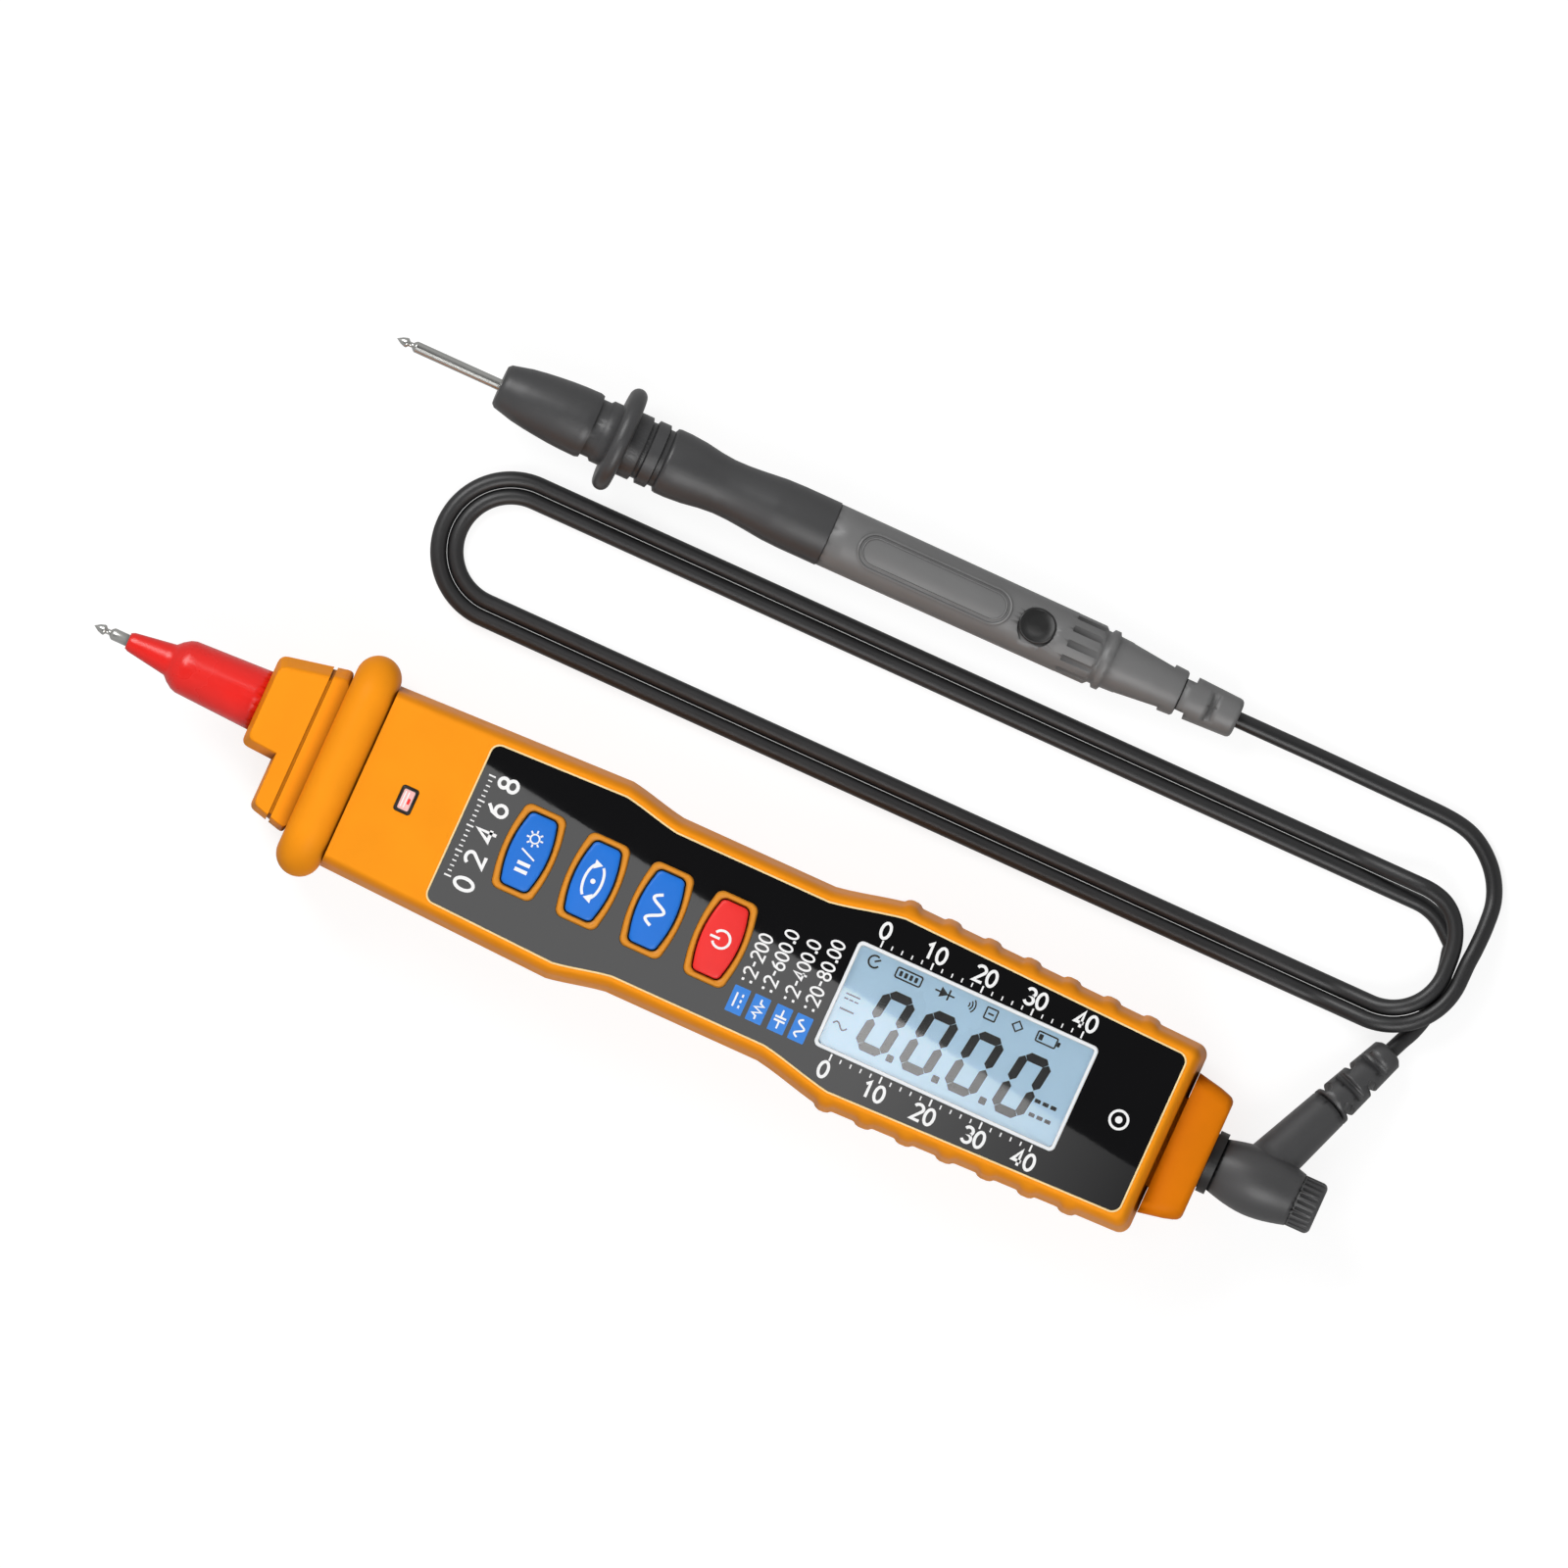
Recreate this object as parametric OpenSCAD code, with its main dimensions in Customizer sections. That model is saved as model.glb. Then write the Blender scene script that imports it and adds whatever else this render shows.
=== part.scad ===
// Pen multimeter with its plugged-in test lead, lying on its back.
// +X runs from the needle to the jack, +Y towards the test pen, +Z out of the face.
// The origin is under the middle of the meter, on the surface that it lies on.

/* [Lengths along the meter] */
// Bare needle in front of the red sleeve
needle_out = 6; // [4.5:0.1:12]
// Red sleeve in front of the nose
sleeve_l = 23.5; // [18:0.1:40]
// Nose in front of the finger guard
nose_l = 12.2; // [9:0.1:20]
// Finger guard along the meter
guard_w = 7.6; // [5:0.1:12]
// Body from the guard to the display section
keys_l = 90; // [84:0.1:120]
// Display section of the body
display_l = 53.7; // [52:0.1:70]
// Jack housing behind the body
housing_l = 7; // [5:0.1:12]

/* [Body section] */
// Thickness from back to face
body_t = 26; // [25:0.1:32]
// Half width just behind the guard
front_half_w = 15.95; // [14:0.05:20]
// Half width at the hip in front of the waist
hip_half_w = 17.45; // [15:0.05:22]
// Half width of the waist
waist_half_w = 15.45; // [15:0.05:19]
// Half width where the display section begins
display_half_w = 18.1; // [16.5:0.05:23]
// Half width at the rear end
rear_half_w = 16.65; // [16:0.05:22]
// Wall of the moulded shells
wall = 1.8; // [1.2:0.1:2.2]
// Width of the rounded edge, seen from the front
edge_w = 1.6; // [0.8:0.1:2]
// Depth of the rounded edge along the thickness
edge_h = 4.5; // [2:0.1:5]
// Draft of the side walls
draft = 0.7; // [0.2:0.1:1]
// Corner radius at the rear end
corner_r = 2; // [1.4:0.1:2.4]
// Number of grip ridges on each side of the display section
ridges = 7; // [4:1:7]
// Distance between grip ridges
ridge_pitch = 7.15; // [5:0.05:7.4]
// Height of a grip ridge
ridge_h = 0.55; // [0.3:0.05:1]
// Width of a grip ridge
ridge_w = 3.2; // [2:0.1:3.6]

/* [Nose and guard] */
// Thickness of the nose
nose_t = 20; // [18:0.1:23]
// Reach of the nose on the needle's side, at the guard
nose_high = 15.1; // [13.5:0.1:17]
// Reach of the nose on the far side, at the guard
nose_low = 13.7; // [13:0.1:16]
// Distance that the needle's axis lies off the middle
needle_y = 4.4; // [2:0.1:5]
// Half width of the finger guard
guard_half_w = 19.3; // [17.8:0.1:25]
// Height of the guard over the face
guard_proud = 2; // [0.5:0.1:5]

/* [Needle and sleeve] */
// Diameter of the bare needle
needle_d = 2; // [1.6:0.1:2.4]
// Diameter of the sleeve at the nose
sleeve_d = 10.3; // [8.5:0.1:12]
// Diameter of the sleeve's front end
sleeve_tip_d = 3.3; // [3:0.1:4]

/* [Front panel] */
// Bare face between the guard and the panel
panel_front = 17.6; // [14:0.1:20]
// Rim of the face round the panel
panel_inset = 2.7; // [2.4:0.1:3.4]
// Thickness of the panel
panel_t = 0.8; // [0.5:0.1:1]
// Depth of the panel's top under the face
panel_sink = 0.3; // [0.1:0.05:0.5]
// Corner radius of the panel
panel_r = 1.6; // [0.5:0.1:3]

/* [Buttons] */
// First button behind the guard
first_button = 30; // [26:0.1:31]
// Distance between buttons
button_pitch = 11.36; // [9.5:0.01:12]
// Length of a cap across the body
cap_l = 12.5; // [10:0.1:15]
// Width of a cap at its middle
cap_mid_w = 6.5; // [5:0.1:6.8]
// Width of a cap at its ends
cap_end_w = 4.4; // [3.4:0.1:4.9]
// Width of the raised bezel round a cap
bezel_w = 1.2; // [0.8:0.1:1.3]
// Height of the bezel over the face
bezel_proud = 0.9; // [0.4:0.1:1.5]
// Height of a cap over its bezel
cap_proud = 0.4; // [0.2:0.1:1]
// Travel of a button
button_travel = 0.8; // [0.4:0.1:1]

/* [Display] */
// Length of the white display frame
lcd_l = 42.7; // [36:0.1:44]
// Width of the white display frame
lcd_w = 18.6; // [16:0.1:20]
// Width of the frame's rim
lcd_rim = 0.6; // [0.4:0.1:1.2]
// Display's middle in front of the body's rear end
lcd_back = 37.7; // [36:0.1:42]

/* [Batteries] */
// Diameter of a battery cell
cell_d = 10.4; // [10:0.1:10.4]
// Length of a battery cell
cell_l = 44.5; // [40:0.1:45]

/* [Jack and plug] */
// Diameter of the plug's contact pin
pin_d = 4; // [3.4:0.1:4.1]
// Length of the contact pin in the jack
pin_l = 19; // [15:0.1:20]
// Diameter of the socket's insulator
socket_d = 11.2; // [10.6:0.1:12.5]
// Diameter of the plug's collar at the socket
collar_d = 10.6; // [9.4:0.1:12]
// Greatest diameter of the plug's barrel
barrel_d = 11.4; // [10:0.1:13]
// Length of the plug's barrel
barrel_l = 13.9; // [12:0.1:18]
// Diameter of the plug's knurled end cap
cap_d = 8.8; // [7.5:0.1:9]
// Length of the plug's knurled end cap
cap_end_l = 4.1; // [2.5:0.1:8]
// Angle between the plug's pin and its arm
arm_angle = 68.4; // [60:0.1:90]
// Turn of the plug in the jack, which lets the arm droop
arm_droop = 19.7; // [5:0.1:20]
// Length of the arm and its strain relief from the plug's axis
arm_l = 31.9; // [26:0.1:31.9]
// Diameter of the arm at the barrel
arm_d = 8.6; // [7:0.1:9]
// Diameter of the strain relief at its end
relief_d = 5.6; // [5:0.1:6]

/* [Test lead] */
// Diameter of the cord
cord_d = 2.7; // [2.7:0.1:2.7]

/* [Test pen] */
// Needle in front of the pen's nose
pen_needle_out = 18.4; // [14:0.1:24]
// Diameter of the pen's needle
pen_needle_d = 1.9; // [1.6:0.1:2.4]
// Length of the pen's nose
pen_nose_l = 16.2; // [12:0.1:20]
// Diameter of the pen's nose at its front
pen_nose_d = 7.5; // [6:0.1:8.5]
// Greatest diameter of the pen's nose and grip
pen_d = 11.2; // [10.6:0.1:12.5]
// Diameter of the pen's flange
pen_flange_d = 17.8; // [15:0.1:20]
// Thickness of the pen's flange
pen_flange_t = 2.9; // [2:0.1:4]
// Length of the grip behind the flange
pen_grip_l = 35.7; // [30:0.1:45]
// Length of the grey handle up to its ring
pen_handle_l = 48.6; // [44:0.1:60]
// Length of the tapered tail behind the ring
pen_tail_l = 12.5; // [10:0.1:18]
// Length of the pen's end cap
pen_end_l = 10.1; // [8:0.1:13]
// Diameter of the handle
pen_handle_d = 10.7; // [10:0.1:11.5]
// Diameter of the round inlay in the handle
inlay_d = 6.2; // [4:0.1:7]

/* [Hidden] */
$fn = 48;

// Fits and overruns
over = 1;          // overrun of every cut
seat = 0.1;        // gap between pieces that seat on each other
fit = 0.15;        // side clearance of caps and doors in their openings
slip = 0.05;       // radial clearance of pins in their sockets

// Places along X, from the needle's tip to the jack's mouth
meter_l = needle_out + sleeve_l + nose_l + guard_w + keys_l + display_l + housing_l;
tip_x = -meter_l / 2;
sleeve_x = tip_x + needle_out;
nose_x = sleeve_x + sleeve_l;
guard_x = nose_x + nose_l;
body_x = guard_x + guard_w;
display_x = body_x + keys_l;
rear_x = display_x + display_l;
end_x = rear_x + housing_l;

// Places along Z
face_z = body_t;
split_z = body_t / 2;
floor_t = 2;                                     // floor of the rear shell
recess_z = face_z - panel_sink - panel_t;        // floor of the panel's recess
skin_t = 1.7;                                    // skin under the panel
skin_z = recess_z - skin_t;
parting = 0.4;                                   // chamfer along the parting line
pcb_rise = 0.9;                                  // board's underside over the parting line
pcb_t = 1.6;
pcb_z = split_z + pcb_rise;
pcb_top = pcb_z + pcb_t;

// Outline of the body: places as shares of the length in front of the display section
hip_share = 0.453;
waist_front_share = 0.562;
waist_rear_share = 0.862;
hip_x = body_x + hip_share * keys_l;
waist_x0 = body_x + waist_front_share * keys_l;
waist_x1 = body_x + waist_rear_share * keys_l;
corner_zone = corner_r + draft + edge_w;
back_edge_w = edge_w + draft;

function lerp(a, b, t) = a + (b - a) * t;
function share(x, a, b) = max(0, min(1, (x - a) / (b - a)));
function ease(t) = t * t * (3 - 2 * t);
bend_share = 0.3;
function bend(t) = lerp(t, ease(t), bend_share);
function unit(v) = v / norm(v);
function half_w(x) =
    x < hip_x ? lerp(front_half_w, hip_half_w, share(x, body_x, hip_x))
    : x < waist_x1 ? lerp(hip_half_w, waist_half_w, bend(share(x, hip_x, waist_x0)))
    : x < display_x ? lerp(waist_half_w, display_half_w, bend(share(x, waist_x1, display_x)))
    : lerp(display_half_w, rear_half_w, share(x, display_x, rear_x));

// Grip ridges: outline points of each, as shares of its half width and its height
ridge_first = 0.3;                               // first ridge behind the start of the display section
ridge_shares = [[-1, 0], [-0.7, 0.7], [-0.35, 1], [0.35, 1], [0.7, 0.7], [1, 0]];
ridge_points = [for (i = [0:ridges - 1]) for (s = ridge_shares)
    [display_x + ridge_first + i * ridge_pitch + s[0] * ridge_w / 2, s[1] * ridge_h]];
bend_n = 6;
bend_points = [for (z = [[hip_x, waist_x0], [waist_x1, display_x]]) for (i = [0:bend_n])
    [lerp(z[0], z[1], i / bend_n), 0]];
stations = concat([for (p = bend_points) if (p[0] < ridge_points[0][0] - seat) p], ridge_points);

// Half outline of the body at an inset, rounded at both ends; ridge is 1 or 0 on the side wall
corner_n = 6;
function flank(inset, x0, x1, r0, r1, ridge = 0) = concat(
    r0 == 0 ? [[x0, half_w(x0) - inset]]
        : [for (i = [0:corner_n]) let (a = 90 * i / corner_n)
            [x0 + r0 * (1 - cos(a)), half_w(x0 + r0) - inset - r0 * (1 - sin(a))]],
    [for (s = stations) if (s[0] > x0 + r0 + seat && s[0] < min(x1 - r1, rear_x - corner_zone) - seat)
        [s[0], half_w(s[0]) - inset + ridge * s[1]]],
    [for (i = [0:corner_n]) let (a = 90 * i / corner_n)
        [x1 - r1 * (1 - sin(a)), half_w(x1 - r1) - inset - r1 * (1 - cos(a))]]);
function backwards(v) = [for (i = [len(v) - 1:-1:0]) v[i]];
function both_sides(v) = concat(v, [for (p = backwards(v)) [p[0], -p[1]]]);
function body_outline(inset, x0, x1, r0, r1) = both_sides(flank(inset, x0, x1, r0, r1));

// Side faces of a stack of closed rings, each clockwise as seen from its last ring
function side_faces(rings, n) = [for (k = [0:rings - 2]) for (j = [0:n - 1])
    let (a = k * n + j, b = k * n + (j + 1) % n) [a, b, b + n, a + n]];
module stack(rings) {
    n = len(rings[0]);
    last = (len(rings) - 1) * n;
    polyhedron(
        points = [for (r = rings) each r],
        faces = concat(side_faces(len(rings), n),
            [[for (j = [n - 1:-1:0]) j]], [[for (j = [0:n - 1]) last + j]]),
        convexity = 6);
}
// The same for body outlines, whose caps are strips from side to side
module body_stack(rings) {
    n = len(rings[0]);
    last = (len(rings) - 1) * n;
    strips = [for (i = [0:n / 2 - 2]) [i, i + 1, n - 2 - i, n - 1 - i]];
    polyhedron(
        points = [for (r = rings) each r],
        faces = concat(side_faces(len(rings), n),
            [for (s = strips) [s[3], s[2], s[1], s[0]]], [for (s = strips) [for (i = s) last + i]]),
        convexity = 8);
}
function at_z(v, z) = [for (p = v) [p[0], p[1], z]];
function at_x(v, x) = [for (p = v) [x, p[0], p[1]]];

// Clockwise rectangle with round corners about a middle
function round_rect(cx, cy, hx, hy, r, n = 4) = [
    for (q = [[1, 1, 90], [1, -1, 0], [-1, -1, -90], [-1, 1, -180]]) for (i = [0:n])
        let (a = q[2] - 90 * i / n) [cx + q[0] * (hx - r) + r * cos(a), cy + q[1] * (hy - r) + r * sin(a)]];
// Clockwise outline with its corners softened over a length r
function soft(v, r) = [for (i = [0:len(v) - 1]) for (t = [0, 0.25, 0.5, 0.75, 1])
    let (p = v[i], a = v[(i + len(v) - 1) % len(v)], b = v[(i + 1) % len(v)],
        s = p + r * unit(a - p), e = p + r * unit(b - p)) lerp(lerp(s, p, t), lerp(p, e, t), t)];
// Clockwise barrel shape: short flat ends, bulging sides
barrel_n = 8;
function barrel(end_w, mid_w, l, r) = let (
    top = l / 2 - r,
    half = concat([[end_w / 2 - r, l / 2], [end_w / 2 - r / 4, l / 2 - r / 4]],
        [for (i = [0:barrel_n]) let (y = top * (1 - 2 * i / barrel_n))
            [lerp(mid_w, end_w, pow(2 * y / l, 2)) / 2, y]],
        [[end_w / 2 - r / 4, r / 4 - l / 2], [end_w / 2 - r, -l / 2]]))
    concat(half, [for (p = half) -p]);

// Extrudes a (y, z) outline along X
module along_x(x, l) translate([x, 0, 0]) rotate([90, 0, 90]) linear_extrude(l) children();
// Turns a shape that stands on Z so that it lies along X
module lay_x(x, y, z) translate([x, y, z]) rotate([0, 90, 0]) children();
module tube(r, bore, l) difference() {
    cylinder(r = r, h = l);
    translate([0, 0, -over]) cylinder(r = bore, h = l + 2 * over);
}
module box(x0, x1, y0, y1, z0, z1) translate([x0, y0, z0]) cube([x1 - x0, y1 - y0, z1 - z0]);

// Rings of the two shells as [z, inset, ridge]
edge_angles = [20, 40, 60, 75, 90];
fade_share = 0.35;                               // ridges fade out up the rounded edge
inner_corner_share = 0.4;
function fade(a) = max(0, cos(a) - fade_share) / (1 - fade_share);
side_top = face_z - edge_h;
side_bottom = edge_h;
front_levels = concat(
    [[split_z, parting, 1], [split_z + parting, 0, 1], [side_top, draft, 1]],
    [for (a = edge_angles) [side_top + edge_h * sin(a), draft + edge_w * (1 - cos(a)), fade(a)]]);
rear_levels = concat(
    [for (a = backwards(edge_angles)) [side_bottom - edge_h * sin(a), draft + edge_w * (1 - cos(a)),
        fade(a)]],
    [[side_bottom, draft, 1], [split_z - parting, 0, 1], [split_z, parting, 1]]);
module shell_form(levels) body_stack([for (v = levels)
    at_z(both_sides(flank(v[1], body_x, rear_x - v[1], 0, corner_r - v[1] * inner_corner_share, v[2])),
        v[0])]);
cavity_inset = wall + draft;
module cavity(z0, z1) translate([0, 0, z0]) linear_extrude(z1 - z0)
    polygon(body_outline(cavity_inset, body_x + wall, rear_x - wall, corner_r / 2, corner_r / 2));

// Neck of the shells, on which the guard and the nose sit
neck_half_w = 12;
neck_r = 3;
nose_z0 = (body_t - nose_t) / 2;
nose_z1 = nose_z0 + nose_t;
neck_hole_half_w = neck_half_w - 2 * wall;
module neck(z0, z1) intersection() {
    along_x(guard_x, guard_w + over) polygon(round_rect(0, split_z, neck_half_w, nose_t / 2, neck_r));
    box(guard_x - over, body_x + over, -body_t, body_t, z0, z1);
}
module neck_hole() along_x(guard_x - over, guard_w + wall + 2 * over)
    polygon(round_rect(0, split_z, neck_hole_half_w, nose_t / 2 - 2 * wall, neck_r / 2));

// Openings of the jack housing's spigot in the rear wall
spigot_half_w = 8;
spigot_half_h = socket_d / 2 + wall / 2;
spigot_l = 2 * wall;
module spigot_hole() along_x(rear_x - 2 * wall, 2 * wall + over)
    polygon(round_rect(0, split_z, spigot_half_w + seat, spigot_half_h + seat, over));

// Case screws: posts in the front shell, bosses in the rear shell
post_r = 2.2;
screw_r = 0.85;
screw_hole_r = 1.15;
screw_head_r = 1.8;
screw_head_t = 1.4;
screw_sink = 3;
screw_bite = 6;
post_merge = 0.8;                                // posts run this far into the front wall
front_post_x = body_x + wall + post_r - post_merge;
rear_post_x = rear_x - wall - post_r - edge_w - draft;
front_post_y = 9.6;
rear_post_y = rear_half_w - cavity_inset - post_r + over / 2;
posts = [for (s = [-1, 1]) each [[front_post_x, s * front_post_y], [rear_post_x, s * rear_post_y]]];

// Buttons
button_xs = [for (i = [0:3]) body_x + first_button + i * button_pitch];
button_r = 1;
cap_round = 0.5;
cap_top = face_z + bezel_proud + cap_proud;
bezel_top = face_z + bezel_proud;
flange_t = 1;
flange_rim = 0.7;
flange_top = skin_z - seat;
tact_w = 6;
tact_h = 3.1;
plunger_r = 1.75;
plunger_h = 0.7;
plunger_top = pcb_top + tact_h + plunger_h;
stem_r = 1.6;
function cap_outline(grow) =
    barrel(cap_end_w + 2 * grow, cap_mid_w + 2 * grow, cap_l + 2 * grow, button_r);
module button_bezel(x) translate([x, 0, 0]) stack([
    at_z(cap_outline(bezel_w), recess_z - over / 2),
    at_z(cap_outline(bezel_w), bezel_top - cap_round),
    at_z(cap_outline(bezel_w - cap_round / 4), bezel_top - cap_round / 3),
    at_z(cap_outline(bezel_w - cap_round * 0.8), bezel_top)]);
module button_hole(x) translate([x, 0, skin_z - over]) linear_extrude(cap_top) polygon(cap_outline(fit));
module button(i) translate([button_xs[i], 0, 0]) {
    stack([
        at_z(cap_outline(0), flange_top),
        at_z(cap_outline(0), cap_top - cap_round),
        at_z(cap_outline(-cap_round / 4), cap_top - cap_round / 3),
        at_z(cap_outline(-cap_round), cap_top)]);
    translate([0, 0, flange_top - flange_t]) linear_extrude(flange_t) polygon(cap_outline(flange_rim));
    stem_z = plunger_top + button_travel + seat;
    translate([0, 0, stem_z]) cylinder(r = stem_r, h = flange_top - flange_t - stem_z);
}

// Display
lcd_x = rear_x - lcd_back;
lcd_r = 1;
lcd_flange = 0.9;
lcd_flange_t = 0.9;
lcd_proud = 0.2;                                 // frame over the panel
lens_t = 1;
lcd_top = face_z - panel_sink + lcd_proud;
lens_top = face_z - panel_sink;
glass_z = skin_z - seat - lcd_flange_t;
glass_top = lens_top - lens_t - seat;
backlight_t = 2.8;
zebra_w = 1.9;
function lcd_outline(grow, r = lcd_r) = round_rect(lcd_x, 0, lcd_l / 2 + grow, lcd_w / 2 + grow, r);

// Indicator light
led_back = 8.4;                                  // light behind the body's front
led_x = body_x + led_back;
led_y = -0.5;
led_window_l = 3.4;
led_window_w = 1.9;
led_rim = 0.5;
led_r = 1.5;
led_h = 5;
led_foot = 0.2;

// Board
pcb_front_gap = 3.9;                             // board behind the front wall
pcb_side_gap = 1.1;                              // board beside the walls at the waist
pcb_front_x = body_x + wall + pcb_front_gap;
pcb_half_w = waist_half_w - cavity_inset - pcb_side_gap;
standoff_r = 2;
standoff_in = 3;                                 // standoffs from the board's edges
standoff_front = 20;
pcb_hole_r = 1;
pcb_hole_in = 2;

// Jack: its place sets the board's rear end
jack_root_l = 4;                                 // socket's length behind the pin
jack_core_step = 3;                              // core's end inside the mouth
jack_sleeve_step = 4;                            // contact sleeve's end inside the mouth
jack_sleeve_floor = 1;
jack_l = pin_l + jack_root_l;
jack_x = end_x - jack_l;
jack_tail_l = 1;
contact_t = 0.4;
contact_w = 4;
tab_l = 4;
lug_l = 3;                                       // contacts over the board's ends
tab_x = jack_x - jack_tail_l;
pcb_rear_x = tab_x - contact_t - seat;

// Battery compartment
tray_wall = 1;
plate_t = 0.4;
spring_l = 4;
spring_wire = 0.5;
cell_gap = 0.4;
tray_l = 2 * tray_wall + 2 * plate_t + spring_l + cell_l;
tray_x1 = pcb_rear_x - seat;
tray_x0 = tray_x1 - tray_l;
tray_half_w = cell_d + cell_gap + tray_wall;
cell_y = (cell_d + cell_gap) / 2;
cell_z = floor_t + seat + cell_gap / 2 + cell_d / 2;
boss_r = 3;
boss_x = tray_x0 - boss_r - seat;
door_x0 = boss_x - boss_r;
door_x1 = tray_x1 - cell_gap;
door_lip = 0.55;                                 // tray's edge beside the door
door_half_w = tray_half_w - door_lip;
door_r = 2;
standoff_gap = 2.1;                              // rear standoffs in front of the door
standoffs = [for (x = [body_x + standoff_front, door_x0 - standoff_gap - standoff_r]) for (s = [-1, 1])
    [x, s * (pcb_half_w - standoff_in)]];
door_sink = 0.2;                                 // door's outside over the back
door_screw_r = 1;
door_head_r = 2;
door_head_t = 1;

// Walls of the jack
jack_wall = 0.75;
jack_sleeve_wall = 0.5;
jack_core_wall = 0.6;
sleeve_out_r = pin_d / 2 + jack_sleeve_wall;
core_r = sleeve_out_r + jack_core_wall;

// Shells
module front_shell() color("#f58a1c") difference() {
    union() {
        difference() {
            union() {
                shell_form(front_levels);
                neck(split_z, nose_z1);
            }
            cavity(split_z - over, skin_z);
            translate([0, 0, recess_z]) linear_extrude(body_t)
                polygon(body_outline(panel_inset, body_x + panel_front, rear_x - panel_inset, panel_r,
                    panel_r));
        }
        for (p = posts) translate([p[0], p[1], split_z]) cylinder(r = post_r, h = skin_z - split_z + over);
        for (x = button_xs) button_bezel(x);
    }
    for (x = button_xs) button_hole(x);
    translate([0, 0, skin_z - over]) linear_extrude(body_t) polygon(lcd_outline(seat));
    translate([0, 0, skin_z - over]) linear_extrude(body_t)
        polygon(round_rect(led_x, led_y, led_window_w / 2 + led_rim + seat,
            led_window_l / 2 + led_rim + seat, led_rim));
    for (p = posts) translate([p[0], p[1], split_z - over])
        cylinder(r = screw_r + slip, h = screw_bite + 2 * over);
    neck_hole();
    spigot_hole();
}
module rear_shell() color("#f58a1c") difference() {
    union() {
        difference() {
            union() {
                shell_form(rear_levels);
                neck(nose_z0, split_z);
            }
            cavity(floor_t, split_z + over);
        }
        for (p = posts) translate([p[0], p[1], floor_t / 2])
            cylinder(r = post_r, h = split_z - floor_t / 2);
        for (p = standoffs) translate([p[0], p[1], floor_t / 2])
            cylinder(r = standoff_r, h = pcb_z - floor_t / 2);
    }
    for (p = posts) translate([p[0], p[1], 0]) {
        translate([0, 0, -over]) cylinder(r = screw_hole_r, h = body_t);
        translate([0, 0, -over]) cylinder(r = screw_head_r + fit, h = screw_sink + over);
    }
    translate([0, 0, -over]) linear_extrude(floor_t + 2 * over)
        polygon(round_rect((door_x0 + door_x1) / 2, 0, (door_x1 - door_x0) / 2, door_half_w, door_r));
    neck_hole();
    spigot_hole();
}
module case_screws() color("silver") for (p = posts) translate([p[0], p[1], screw_sink - screw_head_t])
    difference() {
        union() {
            cylinder(r = screw_head_r, h = screw_head_t);
            cylinder(r = screw_r, h = screw_head_t + split_z - screw_sink + screw_bite);
        }
        for (a = [0, 90]) rotate([0, 0, a])
            box(-screw_head_r / 2, screw_head_r / 2, -screw_r / 4, screw_r / 4, -over, screw_head_t / 2);
    }

// Guard: a round bead that stands on the same surface as the back
guard_r = 8;
guard_n = 10;
guard_corner_n = 6;
guard_half_h = (body_t + guard_proud) / 2;
module finger_guard() color("#f58a1c") difference() {
    stack([for (i = [0:guard_n]) let (a = -90 + 180 * i / guard_n, d = guard_w / 2 * (1 - cos(a)))
        at_x(round_rect(0, guard_half_h, guard_half_w - d, guard_half_h - d, guard_r - d, guard_corner_n),
            guard_x + guard_w / 2 * (1 + sin(a)))]);
    along_x(guard_x - over, guard_w + 2 * over)
        polygon(round_rect(0, split_z, neck_half_w + slip, nose_t / 2 + slip, neck_r));
}

// Nose: an upper block that holds the sleeve and a shorter lower block
nose_step = 5.5;
nose_taper = 2.6;
nose_foot = -3.2;
nose_foot_taper = 0.7;
nose_low_taper = 1.7;
nose_r = 1.3;
nose_low_r = 1;
nose_groove_w = 0.6;
nose_groove_d = 0.4;
nose_groove_back = 3.5;                          // groove in front of the guard
nose_groove_x = guard_x - nose_groove_back;
nose_bevel = 2;                                  // steep bevel under the nose's face
nose_bevel_h = 5;
nose_round = 0.5;
nose_chin = 1.4;
high_share = 1;
foot_share = 0.7;                                // bevels of the other sides, as shares of the first
low_share = 0.45;
nose_levels = [[nose_z0, nose_chin], [nose_z0 + nose_chin, 0], [nose_z1 - nose_bevel_h, 0],
    [nose_z1 - nose_round, nose_bevel - nose_round],
        [nose_z1 - nose_round / 3, nose_bevel - nose_round / 2],
    [nose_z1, nose_bevel]];
nose_plug_l = 5;
socket_l = 7;
sleeve_shoulder = 0.6;
socket_r = sleeve_d / 2 - sleeve_shoulder;
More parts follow.
